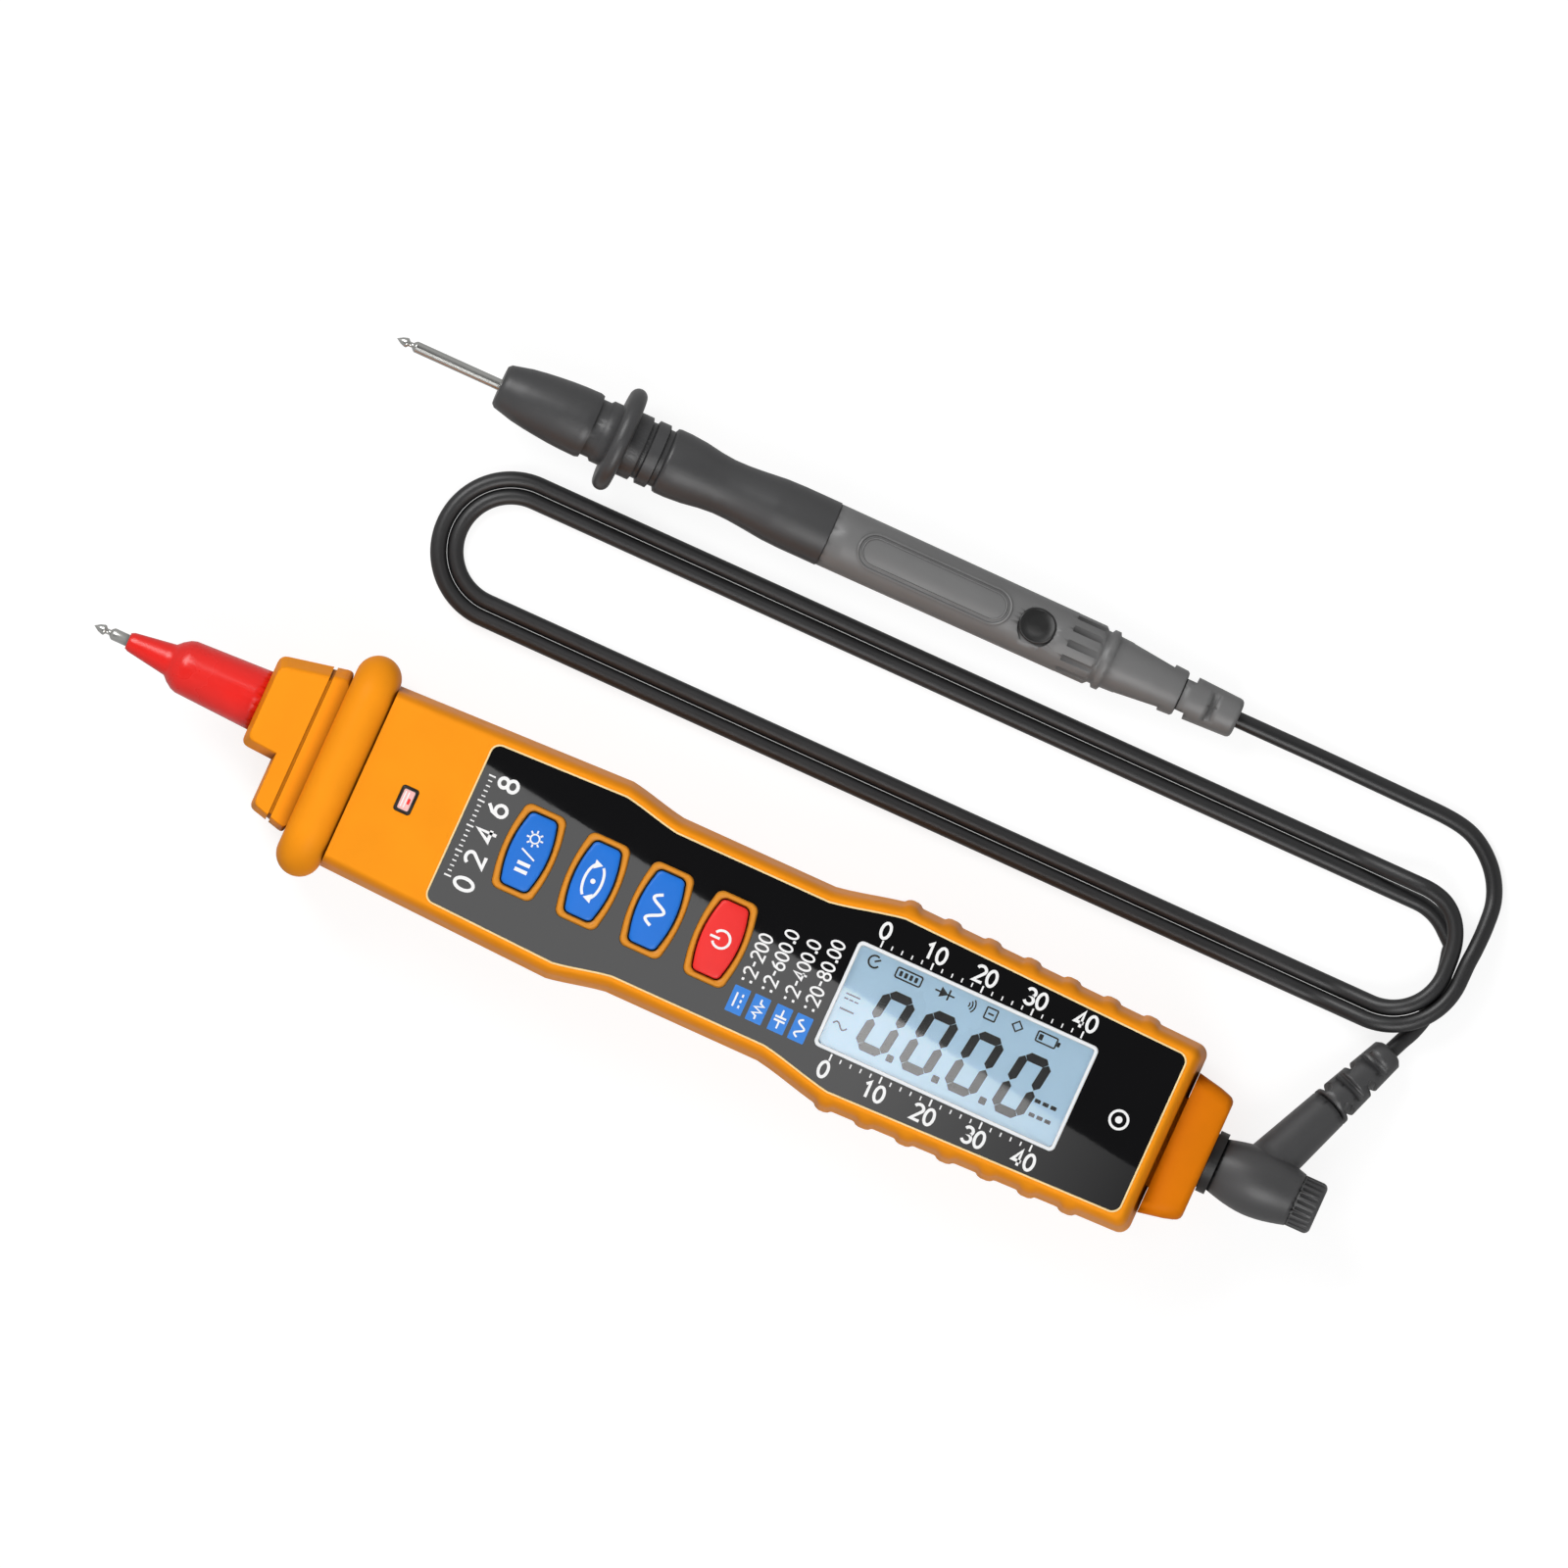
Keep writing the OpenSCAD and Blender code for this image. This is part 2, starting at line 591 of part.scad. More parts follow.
// One block of the nose, drawn in on all sides by sink
module nose_block(x0, high0, high1, low0, low1, r, high, low, sink) stack([for (v = nose_levels)
    let (d = v[1] * high + sink, e = v[1] * low + sink, x = x0 + v[1] * low / 2 + sink)
    at_z(soft([[x, high0 - d], [guard_x, high1 - d], [guard_x, low1 + e], [x, low0 + e]], r),
        v[0] + (v[0] < split_z ? sink : -sink))]);
module nose_blocks(sink) {
    nose_block(nose_x, nose_high - nose_taper, nose_high, nose_foot, nose_foot - nose_foot_taper, nose_r,
        high_share, foot_share, sink);
    nose_block(nose_x + nose_step, needle_y, needle_y, nose_low_taper - nose_low, -nose_low, nose_low_r,
        0, low_share, sink);
}
module nose_cap() color("#f58a1c") difference() {
    union() {
        nose_blocks(0);
        along_x(guard_x - over, nose_plug_l + over)
            polygon(round_rect(0, split_z, neck_hole_half_w - seat, nose_t / 2 - 2 * wall - seat,
                neck_r / 2));
    }
    difference() {
        box(nose_groove_x, nose_groove_x + nose_groove_w, -guard_half_w, guard_half_w, 0, body_t);
        nose_blocks(nose_groove_d);
    }
    lay_x(nose_x - over, needle_y, split_z) cylinder(r = socket_r + slip, h = socket_l + over);
    along_x(nose_x + socket_l + wall, nose_l + nose_plug_l)
        polygon(round_rect(0, split_z, neck_hole_half_w - wall, nose_t / 2 - 3 * wall, neck_r / 2));
    lay_x(nose_x, needle_y, split_z) cylinder(r = needle_root_r + slip, h = socket_l + wall + over);
}

// Needle and sleeve
needle_step = 0.2;                               // the root is thicker than the shaft
needle_root_r = needle_d / 2 + needle_step;
needle_point_l = 0.9;
needle_bulb_l = 1.6;
needle_neck_l = 0.6;
needle_neck_share = 0.45;
needle_tail_l = 3;
needle_rear = nose_x + socket_l + wall + needle_tail_l;
sleeve_round = 0.3;
clip_l = 3;                                      // clip round the needle's rear end
clip_wall = 0.6;
clip_on = 2;
clip_gap = 0.5;
module needle(d, out, root_l) rotate_extrude() polygon([
    [0, 0], [d * 0.3, needle_point_l], [d * 0.42, needle_bulb_l],
        [d * 0.42, needle_bulb_l + needle_neck_l / 2],
    [d / 2 * needle_neck_share, needle_bulb_l + needle_neck_l],
        [d / 2 * needle_neck_share, needle_bulb_l + 2 * needle_neck_l],
    [d / 2 * 0.8, needle_bulb_l + 2.5 * needle_neck_l], [d / 2, needle_bulb_l + 3 * needle_neck_l],
    [d / 2, out], [d / 2 + needle_step, out], [d / 2 + needle_step, out + root_l], [0, out + root_l]]);
module probe_needle() color("silver") lay_x(tip_x, needle_y, split_z)
    needle(needle_d, needle_out, needle_rear - sleeve_x);
module probe_sleeve() color("#e01818") lay_x(sleeve_x, needle_y, split_z) rotate_extrude() polygon([
    [needle_root_r + slip, 0], [sleeve_tip_d / 2 - sleeve_round, 0], [sleeve_tip_d / 2, sleeve_round * 2],
    [sleeve_d * 0.262, sleeve_l * 0.32], [sleeve_d * 0.34, sleeve_l * 0.355],
        [sleeve_d * 0.41, sleeve_l * 0.4],
    [sleeve_d * 0.44, sleeve_l * 0.44], [sleeve_d / 2, sleeve_l],
    [socket_r, sleeve_l], [socket_r, sleeve_l + socket_l - seat],
        [needle_root_r + slip, sleeve_l + socket_l - seat]]);
module probe_contact() color("goldenrod") {
    lay_x(needle_rear - clip_on, needle_y, split_z)
        tube(needle_root_r + clip_wall, needle_root_r + slip, clip_l);
    box(needle_rear + clip_gap, pcb_front_x + lug_l, needle_y - contact_w / 2, needle_y + contact_w / 2,
        pcb_top, pcb_top + contact_t);
    box(needle_rear + clip_gap, needle_rear + clip_gap + contact_t, needle_y - contact_w / 2,
        needle_y + contact_w / 2, split_z + needle_root_r + clip_wall / 2, pcb_top + contact_t);
}
antenna_l = 1;                                   // antenna in front of the guard
module ncv_antenna() color("goldenrod") {
    box(guard_x - antenna_l, pcb_front_x + lug_l, -contact_w * 1.55, -contact_w * 0.6, pcb_top,
        pcb_top + contact_t);
}

// Jack housing at the rear
housing_half_w = 12.4;
housing_taper = 1.5;
housing_half_h = 9;
housing_r = 2.4;
housing_shares = [[0, 0], [0.6, 0.55], [0.82, 0.85], [0.92, 1.05], [0.98, 1.35], [1, 1.7]];
module jack_housing() color("#f58a1c") difference() {
    union() {
        stack([for (v = housing_shares)
            at_x(round_rect(0, split_z, housing_half_w - housing_taper * v[1],
                housing_half_h - housing_taper * v[1], housing_r),
                rear_x + seat / 2 + v[0] * (housing_l - seat / 2))]);
        along_x(rear_x - spigot_l, spigot_l + over)
            polygon(round_rect(0, split_z, spigot_half_w, spigot_half_h, over));
    }
    lay_x(rear_x - spigot_l - over, 0, split_z)
        cylinder(r = socket_d / 2 + slip, h = housing_l + spigot_l + 2 * over);
}
module jack_insulator() color("#161616") lay_x(jack_x, 0, split_z) rotate_extrude() polygon([
    [sleeve_out_r / 2 + slip, 0], [socket_d / 2, 0], [socket_d / 2, jack_l],
        [socket_d / 2 - jack_wall, jack_l],
    [socket_d / 2 - jack_wall, wall], [core_r, wall], [core_r, jack_l - jack_core_step],
    [sleeve_out_r + slip, jack_l - jack_core_step],
    [sleeve_out_r + slip, wall], [sleeve_out_r / 2 + slip, wall]]);
module jack_sleeve() color("goldenrod") lay_x(jack_x, 0, split_z) rotate_extrude() polygon([
    [0, -jack_tail_l], [sleeve_out_r / 2, -jack_tail_l], [sleeve_out_r / 2, wall], [sleeve_out_r, wall],
    [sleeve_out_r, jack_l - jack_sleeve_step], [pin_d / 2 + slip, jack_l - jack_sleeve_step],
    [pin_d / 2 + slip, wall + jack_sleeve_floor], [0, wall + jack_sleeve_floor]]);
module jack_tab() color("goldenrod") {
    box(tab_x - contact_t, tab_x, -contact_w / 2, contact_w / 2, split_z - contact_w / 2,
        pcb_top + contact_t);
    box(pcb_rear_x - tab_l, tab_x, -contact_w / 2, contact_w / 2, pcb_top, pcb_top + contact_t);
}

// Panel and display
module panel_overlay() color("#242424") difference() {
    translate([0, 0, recess_z]) linear_extrude(panel_t) difference() {
        polygon(body_outline(panel_inset + seat, body_x + panel_front + seat, rear_x - panel_inset - seat,
            panel_r, panel_r));
        for (x = button_xs) translate([x, 0]) polygon(cap_outline(bezel_w + seat));
        polygon(lcd_outline(seat));
    }
}
module lcd_bezel() color("white") difference() {
    union() {
        translate([0, 0, skin_z - seat]) linear_extrude(lcd_top - skin_z + seat) polygon(lcd_outline(0));
        translate([0, 0, glass_z]) linear_extrude(lcd_flange_t) polygon(lcd_outline(lcd_flange));
    }
    translate([0, 0, glass_z - over]) linear_extrude(body_t) polygon(lcd_outline(-lcd_rim, lcd_rim));
}
module lcd_lens() color("#cfe6f5") translate([0, 0, lens_top - lens_t]) linear_extrude(lens_t)
    polygon(lcd_outline(-lcd_rim - slip, lcd_rim));
module lcd_glass() color("#b8d8ec") translate([0, 0, glass_z]) linear_extrude(glass_top - glass_z)
    polygon(lcd_outline(-lcd_rim - slip, lcd_rim));
light_margin = 3;                                // contact strip's place under the display's lower edge
light_y0 = light_margin - lcd_w / 2;
light_y1 = lcd_w / 2 - lcd_rim;
light_half_l = lcd_l / 2 - lcd_rim;
leg_r = 0.8;
module backlight_panel() color("#f4f4f4") {
    box(lcd_x - light_half_l, lcd_x + light_half_l, light_y0, light_y1, glass_z - backlight_t, glass_z);
    for (x = [-1, 1]) for (y = [light_y0 + leg_r, light_y1 - leg_r])
        translate([lcd_x + x * (light_half_l - leg_r), y, pcb_top])
            cylinder(r = leg_r, h = glass_z - backlight_t - pcb_top);
}
module zebra_strip() color("#d98cb0")
    box(lcd_x - light_half_l, lcd_x + light_half_l, light_y0 - seat - zebra_w, light_y0 - seat, pcb_top,
        glass_z);
module led_bezel() color("#161616") difference() {
    hx = led_window_w / 2 + led_rim;
    hy = led_window_l / 2 + led_rim;
    union() {
        translate([0, 0, skin_z - seat]) linear_extrude(face_z + seat - skin_z + seat)
            polygon(round_rect(led_x, led_y, hx, hy, led_rim));
        translate([0, 0, skin_z - seat - flange_t / 2]) linear_extrude(flange_t / 2)
            polygon(round_rect(led_x, led_y, hx + led_rim, hy + led_rim, led_rim));
    }
    translate([0, 0, skin_z - 2 * over]) linear_extrude(body_t)
        polygon(round_rect(led_x, led_y, led_window_w / 2 + slip, led_window_l / 2 + slip, led_rim / 2));
}
module led_lens() color("#ffd9dc") translate([0, 0, pcb_top + led_h + seat])
    linear_extrude(face_z - pcb_top - led_h - seat)
        polygon(round_rect(led_x, led_y, led_window_w / 2, led_window_l / 2, led_rim / 2));
module indicator_led() color("#e83030") translate([led_x, led_y, pcb_top]) {
    cylinder(r = led_r + led_foot, h = flange_t);
    cylinder(r = led_r, h = led_h - led_r);
    translate([0, 0, led_h - led_r]) intersection() {
        sphere(r = led_r);
        cylinder(r = led_r, h = led_r);
    }
}

// Board and what stands on it
module main_pcb() color("#1d6b3a") difference() {
    box(pcb_front_x, pcb_rear_x, -pcb_half_w, pcb_half_w, pcb_z, pcb_top);
    for (s = [-1, 1]) translate([(pcb_front_x + standoffs[0][0]) / 2, s * (pcb_half_w - pcb_hole_in),
        pcb_z - over])
        cylinder(r = pcb_hole_r, h = pcb_t + 2 * over);
}
chip_w = 9;
chip_t = 1.4;
chip_leg = 0.9;
chip_leg_w = 0.4;
chip_x = button_xs[3] + cap_mid_w + chip_w / 2;
module mcu_chip() color("#1a1a1a") {
    box(chip_x - chip_w / 2, chip_x + chip_w / 2, -chip_w / 2, chip_w / 2, pcb_top + seat,
        pcb_top + chip_t);
    for (s = [0:3]) translate([chip_x, 0, 0]) rotate([0, 0, 90 * s]) for (i = [-4:4])
        box(chip_w / 2, chip_w / 2 + chip_leg, i * chip_leg - chip_leg_w / 2, i * chip_leg + chip_leg_w / 2,
            pcb_top, pcb_top + chip_t / 2);
}
module tact_switches() color("#2b2b2b") for (x = button_xs) translate([x, 0, pcb_top]) {
    box(-tact_w / 2, tact_w / 2, -tact_w / 2, tact_w / 2, 0, tact_h);
    cylinder(r = plunger_r, h = tact_h + plunger_h);
}
module button_hold() color("#2a78e0") button(0);
module button_select() color("#2a78e0") button(1);
module button_hz() color("#2a78e0") button(2);
module button_power() color("#e8323a") button(3);
buzzer_r = 6;
buzzer_h = 5;
buzzer_hole_r = 1;
module buzzer() color("#1a1a1a") translate([(button_xs[0] + button_xs[1]) / 2, 0, pcb_z - buzzer_h])
    difference() {
    cylinder(r = buzzer_r, h = buzzer_h);
    translate([0, 0, -over]) cylinder(r = buzzer_hole_r, h = over * 2);
}
ptc_r = 2.8;
ptc_t = 2.2;
ptc_back = 9;                                    // thermistor behind the board's front end
ptc_in = 2;
ptc_leg_r = 0.3;
module ptc_thermistor() color("#3a7bc8")
    translate([pcb_front_x + ptc_back, pcb_half_w - ptc_in, pcb_top + ptc_r + seat]) {
    rotate([90, 0, 0]) cylinder(r = ptc_r, h = ptc_t);
    for (s = [-1, 1]) translate([s * ptc_r / 2, -ptc_t / 2, -ptc_r - seat])
        cylinder(r = ptc_leg_r, h = ptc_r);
}

// Batteries
module by_cell() for (a = [0, 180]) translate([(tray_x0 + tray_x1) / 2, 0, 0]) rotate([0, 0, a])
    translate([0, cell_y, cell_z]) children();
module battery_tray() color("#202020") difference() {
    union() {
        box(tray_x0, tray_x1, -tray_half_w, tray_half_w, floor_t, pcb_z);
        translate([boss_x, 0, floor_t]) cylinder(r = boss_r, h = pcb_z - floor_t);
        box(boss_x, tray_x0 + seat, -boss_r / 2, boss_r / 2, floor_t, pcb_z);
    }
    box(tray_x0 + tray_wall, tray_x1 - tray_wall, -tray_half_w + tray_wall, tray_half_w - tray_wall,
        -over, cell_z + cell_d / 2 + cell_gap / 2);
    translate([boss_x, 0, -over]) cylinder(r = door_screw_r + seat, h = pcb_z);
}
nub_l = 0.8;
cell_round = 0.3;
module battery_cells() color("#3c4650") by_cell()
    translate([tray_l / 2 - tray_wall - plate_t - cell_l, 0, 0])
    rotate([0, 90, 0]) rotate_extrude() polygon([
        [0, 0], [cell_d / 2 - cell_round, 0], [cell_d / 2, cell_round],
            [cell_d / 2, cell_l - nub_l - cell_round],
        [cell_d / 2 - cell_round, cell_l - nub_l], [cell_d / 5, cell_l - nub_l], [cell_d / 5, cell_l],
            [0, cell_l]]);
spring_turns = 4;
spring_rings = 8;
spring_r0 = 3.6;
spring_r1 = 1.8;
module battery_springs() color("silver") by_cell() translate([-tray_l / 2 + tray_wall + plate_t, 0, 0])
    rotate([0, 90, 0]) coil();
module coil() {
    n = spring_turns * spring_rings;
    rise = spring_l - spring_wire;
    stack([for (i = [0:n]) let (a = -360 * i / spring_rings, t = i / n, r = lerp(spring_r0, spring_r1, t),
        c = [r * cos(a), r * sin(a), spring_wire / 2 + rise * t], out = [cos(a), sin(a), 0])
        [for (k = [0:5]) c + spring_wire / 2 * (cos(60 * k) * out + sin(60 * k) * [0, 0, 1])]]);
}
module battery_plates() color("silver") {
    z0 = floor_t + cell_gap;
    z1 = cell_z + cell_d / 2;
    box(tray_x0 + tray_wall, tray_x0 + tray_wall + plate_t, -cell_y * 1.8, cell_y * 1.8, z0, z1);
    for (s = [-1, 1]) box(tray_x1 - tray_wall - plate_t, tray_x1 - tray_wall,
        s * cell_y - cell_d * 0.42, s * cell_y + cell_d * 0.42, z0, z1);
}
grip_n = 5;                                      // grooves of the door's thumb grip
grip_pitch = 1.2;
grip_w = 0.5;
grip_half_l = 5;
grip_back = 8;
grip_d = 0.4;
door_screw_l = 7;
door_slot_w = 0.5;
module battery_door() color("#f58a1c") difference() {
    translate([0, 0, door_sink]) linear_extrude(floor_t - seat - door_sink)
        polygon(round_rect((door_x0 + door_x1) / 2, 0, (door_x1 - door_x0) / 2 - fit, door_half_w - fit,
            door_r));
    translate([boss_x, 0, -over]) cylinder(r = door_screw_r + seat, h = body_t);
    translate([boss_x, 0, -over]) cylinder(r = door_head_r + fit, h = over + door_sink + door_head_t);
    for (i = [0:grip_n - 1]) let (x = door_x1 - grip_back + i * grip_pitch)
        box(x, x + grip_w, -grip_half_l, grip_half_l, -over, door_sink + grip_d);
}
module battery_door_screw() color("silver") translate([boss_x, 0, door_sink + seat]) difference() {
    union() {
        cylinder(r = door_head_r, h = door_head_t - seat);
        cylinder(r = door_screw_r, h = door_screw_l);
    }
    for (a = [0, 90]) rotate([0, 0, a])
        box(-door_head_r * 0.6, door_head_r * 0.6, -door_slot_w / 2, door_slot_w / 2, -over,
            door_head_t / 2);
}

// Plug: a shrouded pin, a barrel and an arm that droops towards the table
collar_t = 1.6;
barrel_x = end_x + seat + collar_t;
arm_back = 7.8;                                  // arm's axis behind the jack's mouth
arm_x = end_x + arm_back;
relief_l = 14.2;
relief_flare = 0.7;                              // strain relief's root over its end
relief_root_r = relief_d / 2 + relief_flare;
pin_recess = 1;                                  // pin's point in front of the shroud
pin_chamfer = 0.6;
pin_point_l = 1;
barrel_step = 0.1;                               // barrel's end over the knurled cap
barrel_steps = 12;
shroud_r = socket_d / 2 - jack_wall - fit;
shroud_in_r = core_r + fit;
shroud_l = pin_l - pin_recess;
arm_dir = [cos(arm_angle), sin(arm_angle) * cos(arm_droop), -sin(arm_angle) * sin(arm_droop)];
arm_start = [arm_x, 0, split_z];
arm_end = arm_start + arm_l * arm_dir;
module in_arm() translate(arm_start) rotate([-arm_droop, 0, 0]) rotate([0, 0, arm_angle])
    rotate([0, 90, 0]) children();
module plug_body() color("#3a3a3a") {
    lay_x(barrel_x, 0, split_z) rotate_extrude() polygon(concat(
        [[0, 0]], [for (i = [0:barrel_steps]) let (t = i / barrel_steps)
            [lerp(cap_d / 2 + barrel_step, barrel_d / 2, sin(180 * t)), t * barrel_l]], [[0, barrel_l]]));
    in_arm() cylinder(r1 = arm_d / 2, r2 = relief_root_r, h = arm_l - relief_l);
}
module plug_collar() color("#161616") lay_x(end_x + seat, 0, split_z)
    tube(collar_d / 2, shroud_in_r, collar_t);
module plug_shroud() color("#161616") lay_x(end_x + seat - shroud_l, 0, split_z)
    tube(shroud_r, shroud_in_r, shroud_l);
module plug_pin() color("#d8c070") lay_x(end_x + seat + collar_t - pin_l, 0, split_z) rotate_extrude()
    polygon([
    [0, 0], [pin_d / 2 - pin_chamfer, 0], [pin_d / 2, pin_point_l], [pin_d / 2, pin_l - collar_t - seat],
    [shroud_in_r, pin_l - collar_t - seat], [shroud_in_r, pin_l], [0, pin_l]]);
knurls = 24;
knurl_r = 0.3;
knurl_out = 0.1;
knurl_start = 0.4;
cap_end_round = 1;
module plug_end_cap() color("#3a3a3a") lay_x(barrel_x + barrel_l, 0, split_z) difference() {
    rotate_extrude() polygon(concat([[0, 0], [cap_d / 2, 0]], [for (a = [0:15:90])
        [cap_d / 2 - cap_end_round * (1 - cos(a)), cap_end_l - cap_end_round * (1 - sin(a))]],
            [[0, cap_end_l]]));
    for (i = [0:knurls - 1]) rotate([0, 0, 360 * i / knurls])
        translate([cap_d / 2 + knurl_out, 0, knurl_start]) cylinder(r = knurl_r, h = cap_end_l, $fn = 16);
}
// Strain relief: a groove at its root, then notch pairs at the sides and above and below in turn
relief_groove_d = 0.4;
relief_groove_w = 0.5;
relief_edge = 0.5;
notches = 4;
notch_first = 1.85;
notch_pitch = 2.85;
notch_w = 1.5;
notch_core = 1.6;                                // half of the core that the notches leave
module plug_strain_relief() color("#3a3a3a") in_arm() translate([0, 0, arm_l - relief_l]) difference() {
    rotate_extrude() polygon([
        [0, 0], [relief_root_r - relief_groove_d, 0], [relief_root_r - relief_groove_d, relief_groove_w],
        [relief_root_r, relief_groove_w], [relief_d / 2, relief_l - relief_edge],
        [relief_d / 2 - relief_edge, relief_l], [0, relief_l]]);
    for (i = [0:notches - 1]) for (s = [90, 270]) translate([0, 0, notch_first + i * notch_pitch])
        rotate([0, 0, s + 90 * i]) translate([notch_core + notch_w / 2, 0, 0]) {
            rotate([90, 0, 0]) translate([0, 0, -relief_d]) cylinder(r = notch_w / 2, h = 2 * relief_d);
            translate([0, -relief_d, -notch_w / 2]) cube([relief_d, 2 * relief_d, notch_w]);
        }
}

// Cord: free stretches along points chosen by hand, and a hank of two turns by formula
cord_r = cord_d / 2;
cord_z = cord_r;
function ring_at(p, dir, r, n) = let (s = unit(cross(dir, [0, 0, 1])), u = cross(s, dir))
    [for (k = [0:n - 1]) let (a = 360 * k / n - 90) p + r * (cos(a) * s + sin(a) * u)];
module cord_tube(path, first, last, n) stack([for (i = [0:len(path) - 1]) ring_at(path[i],
    i == 0 ? first : i == len(path) - 1 ? last : unit(path[i + 1] - path[i - 1]), cord_r, n)]);

hank_x0 = -43.5;
hank_x1 = 113.5;
hank_y = 43.1;
hank_in = 8.75;
hank_out = 11.95;
hank_mid = (hank_in + hank_out) / 2;
hank_run = hank_x1 - hank_x0;
join_a = 50;                                     // where the plug's stretch joins the inner turn
move_a0 = 3;                                     // the inner turn moves out between these angles
move_a1 = 75;
hump_gap = 0.5;                                  // air between crossing turns
hump = cord_d + hump_gap;
ramp = 15;                                       // way in which the cord climbs over another
climb_in = 24;
climb_out = 29;
climb_end = 28.5;
// A turn is 4 steps: rear arc, run to the front, front arc, run to the rear
function hank_angle(q) = 180 * (q % 4) - 90;
function hank_r(q) = q < 4.5 ? hank_in : q > 5 ? hank_out
    : lerp(hank_in, hank_out, ease(share(hank_angle(q), move_a0, move_a1)));
function rear_way(q, r) = let (d = q - 4.5) abs(d) <= 0.5 ? d * PI * r
    : sign(d) * (PI * r / 2 + (abs(d) - 0.5) * hank_run);
function hank_z(q) = let (a = rear_way(q, hank_mid), b = rear_way(q - 4, hank_out))
    cord_z + hump * max(ease(share(a, -climb_in, ramp - climb_in)) * ease(share(-a, -climb_out,
        ramp - climb_out)),
        ease(share(b, -climb_end, ramp - climb_end)));
function hank_point(q) = let (s = q % 4, r = hank_r(q), z = hank_z(q))
    s <= 1 ? [hank_x1 + r * cos(180 * s - 90), hank_y + r * sin(180 * s - 90), z]
    : s <= 2 ? [lerp(hank_x1, hank_x0, s - 1), hank_y + r, z]
    : s <= 3 ? [hank_x0 + r * cos(180 * s - 270), hank_y + r * sin(180 * s - 270), z]
    : [lerp(hank_x0, hank_x1, s - 3), hank_y - r, z];
turn_steps = concat([for (i = [1:10]) i / 10], [1.04, 1.08, 1.5], [for (i = [16:24]) i / 8],
    [3.5, 3.9, 3.95, 4]);
hank_start = (join_a + 90) / 180;
hank_steps = concat([hank_start], [for (s = turn_steps) if (s > hank_start + 0.03) s],
    [for (s = turn_steps) 4 + s],
    [8.1, 8.2, 8.3, 8.4, 8.5]);
start_dir = [-sin(join_a), cos(join_a), 0];
hank_first = hank_point(hank_start) - cord_d * start_dir;
hank_last = hank_point(8.5) + [0, cord_d, 0];
hank_path = concat([hank_first], [for (q = hank_steps) hank_point(q)], [hank_last]);

// Pen: it lies on the rim of its flange and on its rear ring
pen_tip_x = -74.6;
pen_y = 67;
pen_collar_l = 3.6;                              // collar between nose and flange
pen_ring_w = 1.6;
pen_ring_step = 0.5;
pen_ring_d = pen_handle_d - pen_ring_step;
pen_rim = pen_flange_t / 2;
pen_nose_x = pen_tip_x + pen_needle_out;
pen_collar_x = pen_nose_x + pen_nose_l;
pen_flange_x = pen_collar_x + pen_collar_l;
pen_grip_x = pen_flange_x + pen_flange_t;
pen_handle_x = pen_grip_x + pen_grip_l;
pen_ring_x = pen_handle_x + pen_handle_l;
pen_tail_x = pen_ring_x + pen_ring_w;
pen_cap_x = pen_tail_x + pen_tail_l;
pen_end_x = pen_cap_x + pen_end_l;
pen_rest_x = pen_flange_x + pen_flange_t / 2;
pen_tilt = asin((pen_flange_d - pen_ring_d) / 2 / (pen_ring_x + pen_ring_w / 2 - pen_rest_x));
pen_z = (pen_flange_d / 2 - pen_rim) * cos(pen_tilt) + pen_rim + slip;
pen_core_r = 3.2;
module in_pen(x) translate([pen_rest_x, pen_y, pen_z]) rotate([0, pen_tilt, 0])
    translate([x - pen_rest_x, 0, 0]) rotate([0, 90, 0]) children();
pen_end_drop = (pen_end_x - pen_rest_x) * sin(pen_tilt);
pen_end = [pen_rest_x + (pen_end_x - pen_rest_x) * cos(pen_tilt), pen_y, pen_z - pen_end_drop];
pen_dir = [cos(pen_tilt), 0, -sin(pen_tilt)];

plug_tail_path = concat([arm_end, arm_end + cord_d * arm_dir],
    [[121.6, 32.6, 1.8], [122.4, 35.4, 1.4], [122.7, 38.4, 1.35], [122.7, 41.4, 1.35],
     [122.3, 44.4, 1.35], [121.8, 46.6, 1.35]], [hank_first]);
pen_tail_path = concat([hank_last], [[125.4, 49, 4.2], [125.4, 53, 2.9], [124.9, 57.2, 1.7],
    [123.2, 60.8, 1.35],
    [120.4, 63.8, 1.35], [117, 65.8, 1.35], [113, 66.6, 1.35], [106, 66.8, 1.35], [98, 66.9, 1.35],
    [90, 67, 2], [82, 67, 3.3]], [pen_end + cord_d * pen_dir, pen_end]);
module cable_plug_tail() color("#202020") cord_tube(plug_tail_path, arm_dir, start_dir, 8);
module cable_hank() color("#202020") cord_tube(hank_path, start_dir, [0, 1, 0], 6);
module cable_pen_tail() color("#202020") cord_tube(pen_tail_path, [0, 1, 0], -pen_dir, 8);

// Least gap between stretches of the hank that aren't neighbours, and the cord's length
hank_gap = min([for (i = [0:len(hank_path) - 1]) for (j = [i + 5:1:len(hank_path) - 1])
    for (t = [0, 0.5]) let (p = j + 1 < len(hank_path) ? lerp(hank_path[j], hank_path[j + 1],
        t) : hank_path[j])
        norm(p - hank_path[i])]) - cord_d;
function way(v, i = 1) = i >= len(v) ? 0 : norm(v[i] - v[i - 1]) + way(v, i + 1);
echo(hank_gap = hank_gap, plug_tail_l = way(plug_tail_path), hank_l = way(hank_path),
    pen_tail_l = way(pen_tail_path));

